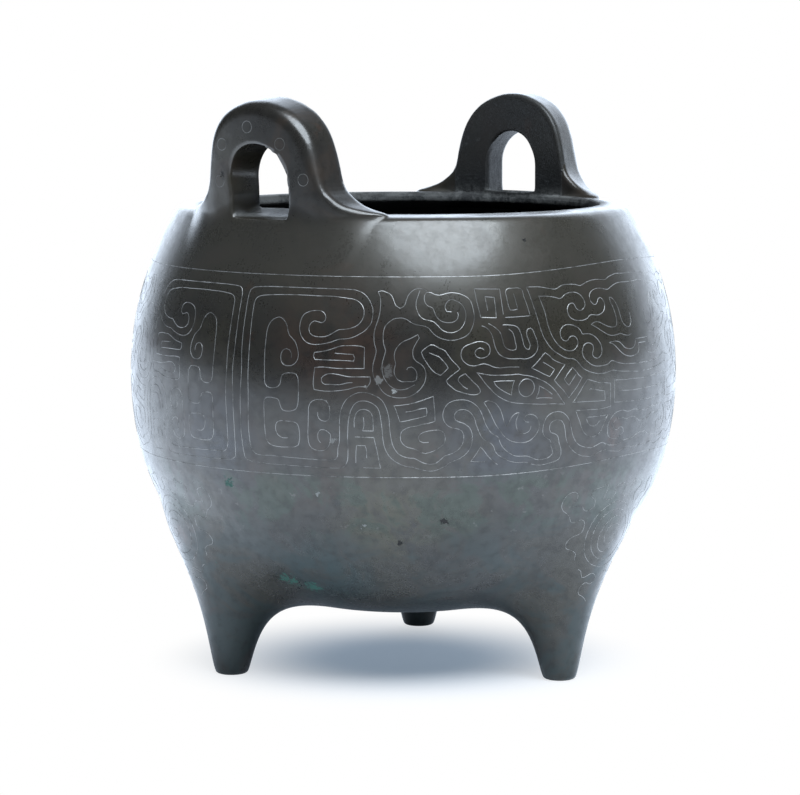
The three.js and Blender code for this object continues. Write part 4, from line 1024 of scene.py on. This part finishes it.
for legName, degrees in legForm["degrees"].items():
    place = legName.replace("leg_", "")

    def whorlPoints(flat):
        azimuths = degrees + np.degrees(flat[:, 0] / wireForm["roundelRadius"])
        return onCast(azimuths, wireForm["roundelHeight"] + flat[:, 1])
    lines = []
    for name, line in whorlLines.items():
        smooth = smoothLine(line, wireForm["whorlStep"])
        lines.append((whorlPoints(smooth), False))
        if name.startswith("cloud"):
            lines.append((whorlPoints(smooth * (-1, 1)), False))
    for wide, tall in whorlRings:
        turns = ringTurns(wireForm["whorlSteps"])
        ring = np.stack([wide * np.cos(turns), whorlCentreUp + tall * np.sin(turns)], 1)
        lines.append((whorlPoints(ring), True))
    wires["inlay_whorl_" + place] = (lines, ["whorl_%s_ring_%d" % (place, ring) for ring in (1, 2, 3)])

for place, side in (("right", 1), ("left", -1)):
    lines = []
    for across, up in ringlets.values():
        turns = ringTurns(wireForm["ringletSteps"])
        y = across - handleQuirks[side]["lean"] * (up - handleForm["leanStart"])
        y = y + wireForm["ringletRadius"] * np.cos(turns)
        z = up + wireForm["ringletRadius"] * np.sin(turns)
        reach = surfaceReach(lambda points: handleField(points, side),
                             lambda out: np.stack([side * out, side * y, z], 1), len(y),
                             *wireForm["ringletSearch"])
        lines.append((np.stack([side * (reach - wireForm["sink"]), side * y, z], 1), True))
    wires["inlay_ringlets_" + place] = (lines, ["ringlet_%s_%d" % (place, ring) for ring in ringlets])

inlays = {name: (wirePiece(name, lines), nodes) for name, (lines, nodes) in wires.items()}
print("wires laid:", sum(len(piece.data.polygons) for piece, _ in inlays.values()), "faces")


# Surface marks that the materials read: soot with painted shade, ash, and how sharply a surface bulges.
# Depths and radii are in millimetres, and the other numbers are shares of the full dirt and shade
dirtAndShadeForm = {
    "inside": (2.2, 3.2), "insideTop": (110.0, 110.9), "ledgeRadii": (47.2, 50.5), "ledgeFrom": (109, 110.5),
    # the inner face entries are painted shade on the handles' inner faces, heavier lower down
    "ledgeTop": (112, 119), "ledge": 0.85, "shadedInnerFace": (0.86, 1.0), "faceShadeLeast": 0.6, "faceShadeLow": 0.3,
    "faceShadeHeights": (113, 124), "reveal": 0.8, "revealReach": (0.1, 0.9), "revealDepth": (0.02, 0.15),
    "facingUp": (0.5, 0.9), "ashLedge": 0.55, "ashLedgeFrom": (106.5, 109.5), "ashLedgeTop": (111, 114),
    "ashFrom": (106, 109), "handleWidth": 16, "handleRadius": 40, "sillMargin": 0.5,
    "bulgeSpan": 0.7, "bulge": (0.3, 1.1),
}


def sootAndShadeShare(points):
    # where smoke and ash have settled: inside, over the mouth's edge and in the openings; on the handles'
    # inner faces it is painted shade, heavier lower down
    form, dirtAndShade = handleForm, dirtAndShadeForm
    x, y, z = points.T
    radius = np.hypot(x, y)
    inwards = profileRadius(np.clip(z, 0, bodyForm["rimOuterHeight"])) - radius
    dirt = smoothStep(inwards, *dirtAndShade["inside"]) * (1 - smoothStep(z, *dirtAndShade["insideTop"]))
    ledge = (1 - smoothStep(radius, *dirtAndShade["ledgeRadii"])) * smoothStep(z, *dirtAndShade["ledgeFrom"])
    dirt = np.maximum(dirt, dirtAndShade["ledge"] * (ledge * (1 - smoothStep(z, *dirtAndShade["ledgeTop"]))))
    deep = (form["face"] - np.abs(x)) / form["thickness"]
    onHandle = (z > form["sillOuter"] - dirtAndShade["sillMargin"]) & (np.abs(y) < dirtAndShade["handleWidth"]) & (
        radius > dirtAndShade["handleRadius"])
    # painted shade on the handles' inner faces, darkest near their foot
    face = smoothStep(deep, *dirtAndShade["shadedInnerFace"]) * (
        dirtAndShade["faceShadeLeast"] + dirtAndShade["faceShadeLow"] * (1 - smoothStep(z, *dirtAndShade["faceShadeHeights"])))
    hole = openingField(np.abs(y), z, np.clip(deep, *form["deepest"]))
    reveal = (1 - smoothStep(hole, *dirtAndShade["revealReach"])) * smoothStep(deep, *dirtAndShade["revealDepth"])
    return np.where(onHandle, np.maximum(dirt, np.maximum(face, dirtAndShade["reveal"] * reveal)), dirt)


def markSurface(piece):
    dirtAndShade = dirtAndShadeForm
    points = meshPoints(piece.data)
    bulge = np.zeros(len(points))
    here = castField(points)
    span = dirtAndShade["bulgeSpan"]
    for axis in range(3):
        nudge = np.zeros(3)
        nudge[axis] = span
        bulge += castField(points + nudge) + castField(points - nudge) - 2 * here
    bulge /= span * span
    normals = np.empty(len(points) * 3, np.float32)
    piece.data.vertex_normals.foreach_get("vector", normals)
    # the soot share also holds painted shade on the handles' inner faces
    sootAndShade = sootAndShadeShare(points)
    z = points[:, 2]
    ledge = dirtAndShade["ashLedge"] * smoothStep(z, *dirtAndShade["ashLedgeFrom"])
    ledge *= 1 - smoothStep(z, *dirtAndShade["ashLedgeTop"])
    facingUp = np.maximum(smoothStep(normals[2::3], *dirtAndShade["facingUp"]), ledge)
    ash = sootAndShade * facingUp * smoothStep(z, *dirtAndShade["ashFrom"])
    for name, values in (("sootAndShade", sootAndShade), ("ash", ash), ("edge", smoothStep(bulge, *dirtAndShade["bulge"]))):
        attribute = piece.data.attributes.new(name, "FLOAT", "POINT")
        attribute.data.foreach_set("value", values.astype(np.float32))


for piece in [bowl, *legs.values(), *handles.values()]:
    markSurface(piece)


# Materials
def setInputs(tree, node, values):
    # links a socket, or sets its value
    for name, value in values.items():
        if isinstance(value, bpy.types.NodeSocket):
            tree.links.new(value, node.inputs[name])
        else:
            node.inputs[name].default_value = value


def addNode(tree, kind, values=None, **settings):
    made = tree.nodes.new(kind)
    for name, value in settings.items():
        setattr(made, name, value)
    setInputs(tree, made, values or {})
    return made


def mixColour(tree, share, first, second):
    made = addNode(tree, "ShaderNodeMix", data_type="RGBA")
    setInputs(tree, made, {0: share, 6: first, 7: second})
    return made.outputs[2]


def ranged(tree, value, low, high, toLow=0.0, toHigh=1.0):
    made = addNode(tree, "ShaderNodeMapRange", {"Value": value, "From Min": low, "From Max": high,
                                                "To Min": toLow, "To Max": toHigh},
                   interpolation_type="SMOOTHSTEP")
    return made.outputs["Result"]


def maths(tree, operation, first, second):
    return addNode(tree, "ShaderNodeMath", {0: first, 1: second}, operation=operation).outputs[0]


def times(tree, first, second):
    return maths(tree, "MULTIPLY", first, second)


def plus(tree, first, second):
    return maths(tree, "ADD", first, second)


def larger(tree, first, second):
    return maths(tree, "MAXIMUM", first, second)


def noise(tree, where, scale, detail=4.0, roughness=0.55, distortion=0.0):
    return addNode(tree, "ShaderNodeTexNoise", {"Vector": where, "Scale": scale, "Detail": detail,
                                                "Roughness": roughness, "Distortion": distortion}
                   ).outputs["Fac"]


def distance(tree, where, middle):
    return addNode(tree, "ShaderNodeVectorMath", {0: where, 1: Vector(middle) * 0.001},
                   operation="DISTANCE").outputs["Value"]


def bumped(tree, height):
    return addNode(tree, "ShaderNodeBump", {"Height": height, "Strength": 1.0, "Distance": 0.001}
                   ).outputs["Normal"]


def colour(red, green, blue):
    return (red, green, blue, 1.0)


def newMaterial(name):
    material = bpy.data.materials.new(name)
    material.use_nodes = True
    tree = material.node_tree
    where = addNode(tree, "ShaderNodeTexCoord").outputs["Object"]
    return material, tree, tree.nodes["Principled BSDF"], where


# noises that bronze and silver share: scale, detail, roughness, distortion
wearForm = {"Cloud": (26.0, 5.0, 0.6, 0.4), "Patch": (70.0, 5.0, 0.62, 0.8), "Grain": (420.0, 3.0, 0.6),
            "Fine": (1500.0, 2.0, 0.5)}


def metalWear():
    # unevenness from broad clouds and patches down to grain and fine grain
    tree = bpy.data.node_groups.new("metal_wear", "ShaderNodeTree")
    where = addNode(tree, "ShaderNodeTexCoord").outputs["Object"]
    out = addNode(tree, "NodeGroupOutput")
    for name, form in wearForm.items():
        tree.interface.new_socket(name, in_out="OUTPUT", socket_type="NodeSocketFloat")
        tree.links.new(noise(tree, where, *form), out.inputs[name])
    return tree


wearGroup = metalWear()


def wearOf(tree):
    return addNode(tree, "ShaderNodeGroup", node_tree=wearGroup).outputs


# heights are in metres here, because materials read Object coordinates
bronzeLook = {
    "dark": colour(0.017, 0.015, 0.013), "olive": colour(0.049, 0.042, 0.029),
    "brown": colour(0.050, 0.036, 0.026), "umber": colour(0.035, 0.031, 0.026),
    "rust": colour(0.075, 0.036, 0.022), "moss": colour(0.038, 0.052, 0.034),
    "teal": colour(0.018, 0.046, 0.047), "yellowed": colour(0.085, 0.075, 0.042),
    "bluish": colour(0.050, 0.054, 0.064), "worn": colour(0.15, 0.14, 0.125),
    # the soot colour also paints shade on the handles' inner faces
    "sootAndShade": colour(0.013, 0.014, 0.015), "ash": colour(0.085, 0.087, 0.088),
    "ashes": colour(0.24, 0.24, 0.23), "verdigris": colour(0.050, 0.16, 0.125),
    "pale": colour(0.42, 0.42, 0.40), "shoulder": colour(0.085, 0.077, 0.062),
    "metallic": 0.35, "coat": 0.9, "coatLeast": 0.7, "coatRoughness": 0.21, "wear": 0.16,
    "roughness": 0.32, "smoother": 0.06, "rougher": 0.09, "fineRoughness": 0.25, "dirtRoughness": 0.45,
    "paleOver": (0.080, 0.102), "paleEnd": (0.113, 0.107), "paleShare": 0.65,
    "beltTop": (0.056, 0.050), "beltBottom": (0.036, 0.042), "lowOver": (0.050, 0.030),
    "pitsOver": (0.060, 0.050), "scratchesOver": (0.092, 0.100), "scratchesEnd": (0.110, 0.108),
    "pitScale": 230.0, "crustLift": (-0.22, 0.06), "scratchRun": 0.003, "scratches": (1700.0, 3.0, 0.6),
    "rubbleDepth": 0.5,
}

# noises of the patina: scale, detail, roughness, distortion
patinaNoise = {
    "blotch": (105.0, 5.0, 0.65, 0.6), "freckles": (300.0, 3.0, 0.6), "sootAndShade": (420.0, 5.0, 0.8),
    "ash": (160.0, 5.0, 0.8), "specks": (330.0, 4.0, 0.65), "speckFields": (42.0, 2.0),
    "crust": (900.0, 5.0, 0.75, 0.5), "pitFields": (75.0, 2.0), "rubble": (380.0, 5.0, 0.7),
}

# where each noise begins and ends to show, and how much of it does
patinaShows = {
    "umber": (0.40, 0.60), "brown": (0.48, 0.66, 0, 0.8), "rust": (0.62, 0.74, 0, 0.7),
    "tones": (0.34, 0.58), "moss": (0.47, 0.58, 0, 0.85), "teal": (0.44, 0.60, 0, 0.6),
    "dark": (0.50, 0.72, 0, 0.4), "freckles": (0.66, 0.72, 0, 0.5), "rubbed": (0.30, 0.60),
    "sootAndShade": (0.55, 0.75), "ash": (0.38, 0.56, 0.1, 0.75), "specks": (0.66, 0.74),
    "speckFields": (0.56, 0.70), "crust": (0.47, 0.53, 0), "pits": (0.16, 0.02), "pitFields": (0.64, 0.76),
    "polish": (0.35, 0.65), "roughness": (0.3, 0.7),
}

# how deep each unevenness goes in millimetres, below zero where it is sunk
bumpDepths = {"fine": 0.0025, "grain": 0.009, "cloud": 0.16, "scratches": 0.003, "pits": -0.012,
              "raised": 0.03, "sunk": -0.12}

# marks seen on the front: middle in millimetres, reach, strength, colour
blemishes = [
    ((-56.5, -32.8, 75.2), 2.2, 0.35, "pale"), ((-55.4, -34.4, 77.4), 3.0, 0.18, "pale"),
    ((-54.6, -35.6, 72.8), 1.6, 0.8, "pale"), ((-57.8, -30.4, 73.4), 1.2, 0.9, "pale"),
    ((-59.6, -18.4, 49.0), 1.5, 0.8, "pale"), ((-57.5, -22.0, 47.0), 2.4, 0.4, "ash"),
    ((-60.6, -23.4, 61.3), 2.0, 0.4, "pale"), ((-53.1, -26.2, 41.4), 1.4, 0.7, "pale"),
    ((-62.4, 4.7, 49.8), 3.4, 0.8, "verdigris"), ((-46.7, -0.7, 25.7), 6.0, 0.9, "verdigris"),
    ((-44.4, -5.6, 24.3), 5.0, 0.9, "verdigris"), ((-43.1, -41.4, 42.4), 2.4, 1.0, "dark"),
    ((-47.0, -32.1, 37.3), 1.6, 1.0, "dark"), ((-25.2, -51.0, 105.3), 1.2, 1.0, "dark"),
    ((-56.0, 11.6, 119.6), 2.0, 1.0, "dark"),
]

# broad tones of the patina on the front: middle, reach, strength, colour
tones = [
    ((-62.5, 2.0, 74.0), 20.0, 0.55, "dark"), ((-44.0, -47.0, 80.0), 24.0, 0.5, "dark"),
    ((-60.0, -24.0, 86.0), 20.0, 0.5, "rust"), ((-50.0, -31.0, 43.0), 15.0, 0.95, "yellowed"),
    ((-47.0, -12.0, 28.0), 18.0, 0.85, "teal"), ((-38.0, -52.0, 60.0), 17.0, 0.7, "bluish"),
    ((-61.0, 8.0, 58.0), 17.0, 0.7, "bluish"),
]


def patinatedBronze():
    look = bronzeLook
    material, tree, shader, where = newMaterial("patinated_bronze")
    wear = wearOf(tree)
    cloud, patch, grain, fine = wear["Cloud"], wear["Patch"], wear["Grain"], wear["Fine"]
    sootAndShade, ash, edge = [addNode(tree, "ShaderNodeAttribute", attribute_name=name).outputs["Fac"]
                       for name in ("sootAndShade", "ash", "edge")]
    axes = addNode(tree, "ShaderNodeSeparateXYZ", {"Vector": where})
    z = axes.outputs["Z"]

    def shown(value, name):
        return ranged(tree, value, *patinaShows[name])

    def grown(name):
        return shown(noise(tree, where, *patinaNoise[name]), name)

    def tinted(share, tone):
        return mixColour(tree, share, base, look[tone])
    base = mixColour(tree, shown(cloud, "umber"), look["olive"], look["umber"])
    base = tinted(shown(patch, "brown"), "brown")
    blotch = noise(tree, where, *patinaNoise["blotch"])
    base = tinted(shown(blotch, "rust"), "rust")
    for middle, reach, strength, tone in tones:
        away = distance(tree, where, middle)
        base = tinted(times(tree, ranged(tree, away, reach * 0.001, reach * 0.0002, 0, strength),
                            shown(blotch, "tones")), tone)
    # a mottled belt under the band, a green cast below it, and a paler shoulder
    belt = times(tree, ranged(tree, z, *look["beltTop"]), ranged(tree, z, *look["beltBottom"]))
    base = tinted(times(tree, belt, shown(blotch, "moss")), "moss")
    low = ranged(tree, z, *look["lowOver"])
    base = tinted(times(tree, low, shown(patch, "teal")), "teal")
    base = tinted(shown(grain, "dark"), "dark")
    base = tinted(times(tree, ranged(tree, z, *look["paleOver"], 0, look["paleShare"]),
                        ranged(tree, z, *look["paleEnd"])), "shoulder")
    base = tinted(times(tree, belt, grown("freckles")), "worn")
    base = tinted(times(tree, times(tree, edge, shown(grain, "rubbed")), look["wear"]), "worn")
    # soot, with ash lying on it; the same dark colour paints shade on the handles' inner faces
    sootAndShadeColour = mixColour(tree, grown("sootAndShade"), look["sootAndShade"], look["ash"])
    dusty = times(tree, ash, grown("ash"))
    base = mixColour(tree, sootAndShade, base, mixColour(tree, dusty, sootAndShadeColour, look["ashes"]))
    green = times(tree, times(tree, grown("specks"), grown("speckFields")), low)
    base = tinted(green, "verdigris")
    crust = noise(tree, where, *patinaNoise["crust"])
    raised, sunk = green, 0.0
    for middle, reach, strength, tone in blemishes:
        away = distance(tree, where, middle)
        close = ranged(tree, away, reach * 0.001, 0.0, *look["crustLift"])
        spot = times(tree, ranged(tree, plus(tree, crust, close), *patinaShows["crust"], strength),
                     ranged(tree, away, reach * 0.001, reach * 0.0008))
        base = tinted(spot, tone)
        if tone == "dark":
            sunk = larger(tree, spot, sunk)
        else:
            raised = larger(tree, spot, raised)
    # dirt is matt and has no sheen of its own, and so is the painted shade on the handles' inner faces
    matt = larger(tree, sootAndShade, raised)
    rough = ranged(tree, patch, *patinaShows["roughness"], look["roughness"] - look["smoother"],
                   look["roughness"] + look["rougher"])
    rough = plus(tree, rough, times(tree, maths(tree, "SUBTRACT", fine, 0.5), look["fineRoughness"]))
    rough = plus(tree, rough, times(tree, matt, look["dirtRoughness"]))
    clean = maths(tree, "SUBTRACT", 1.0, larger(tree, matt, sunk))
    polish = ranged(tree, grain, *patinaShows["polish"], look["coat"], look["coat"] * look["coatLeast"])
    pits = addNode(tree, "ShaderNodeTexVoronoi", {"Vector": where, "Scale": look["pitScale"]},
                   feature="F1").outputs["Distance"]
    pits = times(tree, shown(pits, "pits"), grown("pitFields"))
    pits = times(tree, pits, ranged(tree, z, *look["pitsOver"]))
    # fine level scratches from polishing run round the shoulder
    turn = times(tree, maths(tree, "ARCTAN2", axes.outputs["Y"], axes.outputs["X"]), look["scratchRun"])
    level = addNode(tree, "ShaderNodeCombineXYZ", {"X": turn, "Z": z}).outputs["Vector"]
    scratches = times(tree, noise(tree, level, *look["scratches"]),
                      times(tree, ranged(tree, z, *look["scratchesOver"]),
                            ranged(tree, z, *look["scratchesEnd"])))
    height = times(tree, maths(tree, "POWER", sootAndShade, 3.0),
                   times(tree, noise(tree, where, *patinaNoise["rubble"]), look["rubbleDepth"]))
    uneven = {"fine": fine, "grain": grain, "cloud": cloud, "scratches": scratches, "pits": pits,
              "raised": raised, "sunk": sunk}
    for name, value in uneven.items():
        height = plus(tree, height, times(tree, value, bumpDepths[name]))
    normal = bumped(tree, height)
    setInputs(tree, shader, {
        "Base Color": base, "Roughness": rough, "Metallic": ranged(tree, matt, 0, 1, look["metallic"], 0.0),
        "Coat Weight": times(tree, clean, polish), "Coat Roughness": look["coatRoughness"],
        "Normal": normal, "Coat Normal": normal})
    return material


wireLook = {
    "bright": colour(0.36, 0.35, 0.335), "tarnished": colour(0.12, 0.115, 0.105), "metallic": 0.6,
    "dullPatch": (0.50, 0.72, 0, 0.7), "dullGrain": (0.48, 0.62, 0, 0.8),
    "roughness": (0.2, 0.8, 0.38, 0.55), "grainDepth": 0.03, "rubbedOver": (0.108, 0.112), "rubbed": 0.65,
}


def inlaidSilver():
    look = wireLook
    material, tree, shader, where = newMaterial("inlaid_silver")
    wear = wearOf(tree)
    dull = plus(tree, ranged(tree, wear["Patch"], *look["dullPatch"]),
                ranged(tree, wear["Grain"], *look["dullGrain"]))
    # the ringlets on the handles are rubbed nearly dark
    z = addNode(tree, "ShaderNodeSeparateXYZ", {"Vector": where}).outputs["Z"]
    dull = plus(tree, dull, ranged(tree, z, *look["rubbedOver"], 0, look["rubbed"]))
    setInputs(tree, shader, {
        "Base Color": mixColour(tree, dull, look["bright"], look["tarnished"]),
        "Roughness": ranged(tree, wear["Grain"], *look["roughness"]),
        "Metallic": look["metallic"],
        "Normal": bumped(tree, times(tree, wear["Grain"], look["grainDepth"]))})
    return material


bronze = patinatedBronze()
silver = inlaidSilver()
for name, piece in {"bowl": bowl, **legs, **handles}.items():
    finishPiece(piece, "root", bronze, "patinated_bronze", name)
for piece, nodes in inlays.values():
    finishPiece(piece, "root", silver, "silver_wire", *nodes)


# Camera at the photograph's place
cameraForm = {"place": (-0.6608, -0.4640, 0.1568), "target": (-0.00046, 0.00066, 0.0638), "lens": 151.4,
              "sensor": 36, "nearest": 0.05, "farthest": 20}


def aimed(item, place, target):
    scene.collection.objects.link(item)
    item.location = place
    item.rotation_euler = (Vector(target) - Vector(place)).to_track_quat("-Z", "Y").to_euler()


camera = bpy.data.objects.new("camera", bpy.data.cameras.new("camera"))
aimed(camera, cameraForm["place"], cameraForm["target"])
camera.data.lens = cameraForm["lens"]
camera.data.sensor_width = cameraForm["sensor"]
camera.data.clip_start, camera.data.clip_end = cameraForm["nearest"], cameraForm["farthest"]
scene.camera = camera


# Studio: pale floor, white backdrop behind, one soft lamp over the camera. Lengths are in metres
studio = {
    # the floor's glow is painted light, faint blue, over the floor round the object and in its shadow
    "floorReach": 4, "floor": colour(0.82, 0.85, 0.89), "paintedFloorGlow": colour(0.17, 0.22, 0.28),
    "paintedFloorGlowUnseen": 0.2,
    "shadowReach": (0.014, 0.064), "front": 0.08, "backdrop": 2.4, "scattered": 0.55,
    # the paper's glow where the metal mirrors it is painted reflection, up to twice white
    "tint": colour(0.79, 0.90, 1.05), "turn": -8, "edges": (0.47, 0.90), "mirrored": 2.0,
    "paintedReflectionReach": (0.040, 0.130), "tableFront": (-0.85, -0.24), "tableLeast": 0.15,
}
white = colour(1, 1, 1)


def behindHeading():
    heading = Vector(cameraForm["target"]) - Vector(cameraForm["place"])
    heading.z = 0
    heading.rotate(Matrix.Rotation(math.radians(studio["turn"]), 3, "Z"))
    return heading.normalized()


def makeFloor():
    bm = bmesh.new()
    bmesh.ops.create_grid(bm, x_segments=2, y_segments=2, size=studio["floorReach"])
    floor = objectFrom("floor", bm)
    material, tree, shader, where = newMaterial("floor_paper")
    tree.nodes.remove(shader)
    rays = addNode(tree, "ShaderNodeLightPath").outputs
    shown = rays["Is Camera Ray"]
    hidden = maths(tree, "SUBTRACT", 1.0, shown)
    seen = larger(tree, shown, larger(tree, rays["Is Glossy Ray"], rays["Is Transmission Ray"]))
    # white paper that fades into the white backdrop beyond the object's shadow; near the object a faint blue
    # glow is painted light that lifts and tints that shadow
    diffuse = addNode(tree, "ShaderNodeBsdfDiffuse", {"Color": studio["floor"]})
    paintedFloorGlow = addNode(tree, "ShaderNodeEmission", {
        "Color": studio["paintedFloorGlow"], "Strength": ranged(tree, shown, 0, 1, studio["paintedFloorGlowUnseen"], 1.0)})
    near = addNode(tree, "ShaderNodeAddShader", {0: diffuse.outputs[0], 1: paintedFloorGlow.outputs[0]})
    # what the metal mirrors of the table is painted reflection, paper glowing up to twice white, and it ends
    # a little way in front of the object
    along = addNode(tree, "ShaderNodeVectorMath", {0: where, 1: behindHeading()},
                    operation="DOT_PRODUCT").outputs["Value"]
    mirrored = times(tree, ranged(tree, along, *studio["tableFront"], studio["tableLeast"], 1.0),
                     studio["mirrored"])
    far = addNode(tree, "ShaderNodeEmission", {
        "Color": mixColour(tree, shown, studio["tint"], white),
        "Strength": larger(tree, shown, times(tree, mirrored, hidden))})
    away = addNode(tree, "ShaderNodeVectorMath", {0: where}, operation="LENGTH").outputs["Value"]
    share = plus(tree, times(tree, shown, ranged(tree, away, *studio["shadowReach"])),
                 times(tree, hidden, ranged(tree, away, *studio["paintedReflectionReach"])))
    fade = addNode(tree, "ShaderNodeMixShader", {0: share, 1: near.outputs[0], 2: far.outputs[0]})
    both = addNode(tree, "ShaderNodeMixShader", {0: seen, 1: diffuse.outputs[0], 2: fade.outputs[0]})
    setInputs(tree, tree.nodes["Material Output"], {"Surface": both.outputs[0]})
    floor.data.materials.append(material)


def makeWorld():
    world = bpy.data.worlds.new("studio")
    scene.world = world
    world.use_nodes = True
    tree = world.node_tree
    tree.nodes.clear()
    rays = addNode(tree, "ShaderNodeLightPath").outputs
    seen = larger(tree, rays["Is Camera Ray"], rays["Is Transmission Ray"])
    # a white sheet hangs behind the object, and the room in front is dim
    heading = addNode(tree, "ShaderNodeTexCoord").outputs["Generated"]
    facing = addNode(tree, "ShaderNodeVectorMath", {0: heading, 1: behindHeading()},
                     operation="DOT_PRODUCT").outputs["Value"]
    strength = ranged(tree, facing, *studio["edges"], studio["front"], studio["backdrop"])
    strength = times(tree, strength, ranged(tree, rays["Is Glossy Ray"], 0, 1, studio["scattered"], 1.0))
    light = addNode(tree, "ShaderNodeBackground", {"Color": studio["tint"], "Strength": strength})
    shown = addNode(tree, "ShaderNodeBackground", {"Color": white, "Strength": 1.0})
    mixed = addNode(tree, "ShaderNodeMixShader", {0: seen, 1: light.outputs[0], 2: shown.outputs[0]})
    addNode(tree, "ShaderNodeOutputWorld", {"Surface": mixed.outputs[0]})


# place round the object as seen from the camera: turn to the right, height, distance
softbox = {"turn": 26, "rise": 60, "away": 0.95, "size": 0.80, "power": 13.5, "tint": (0.80, 0.90, 1.0),
           "target": (0, 0, 0.07)}


def makeLamp():
    form = softbox
    data = bpy.data.lights.new("softbox", "AREA")
    data.shape = "DISK"
    data.size = form["size"]
    data.energy = form["power"]
    data.color = form["tint"]
    turn = math.atan2(cameraForm["place"][1], cameraForm["place"][0]) + math.radians(form["turn"])
    rise = math.radians(form["rise"])
    outward = form["away"] * math.cos(rise)
    aimed(bpy.data.objects.new("softbox", data),
          (outward * math.cos(turn), outward * math.sin(turn),
           form["target"][2] + form["away"] * math.sin(rise)), form["target"])


makeFloor()
makeWorld()
makeLamp()
scene.view_settings.view_transform = "Standard"
print("studio set")

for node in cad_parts.values():
    if not node.hide_render:
        print("still showing:", node.name)
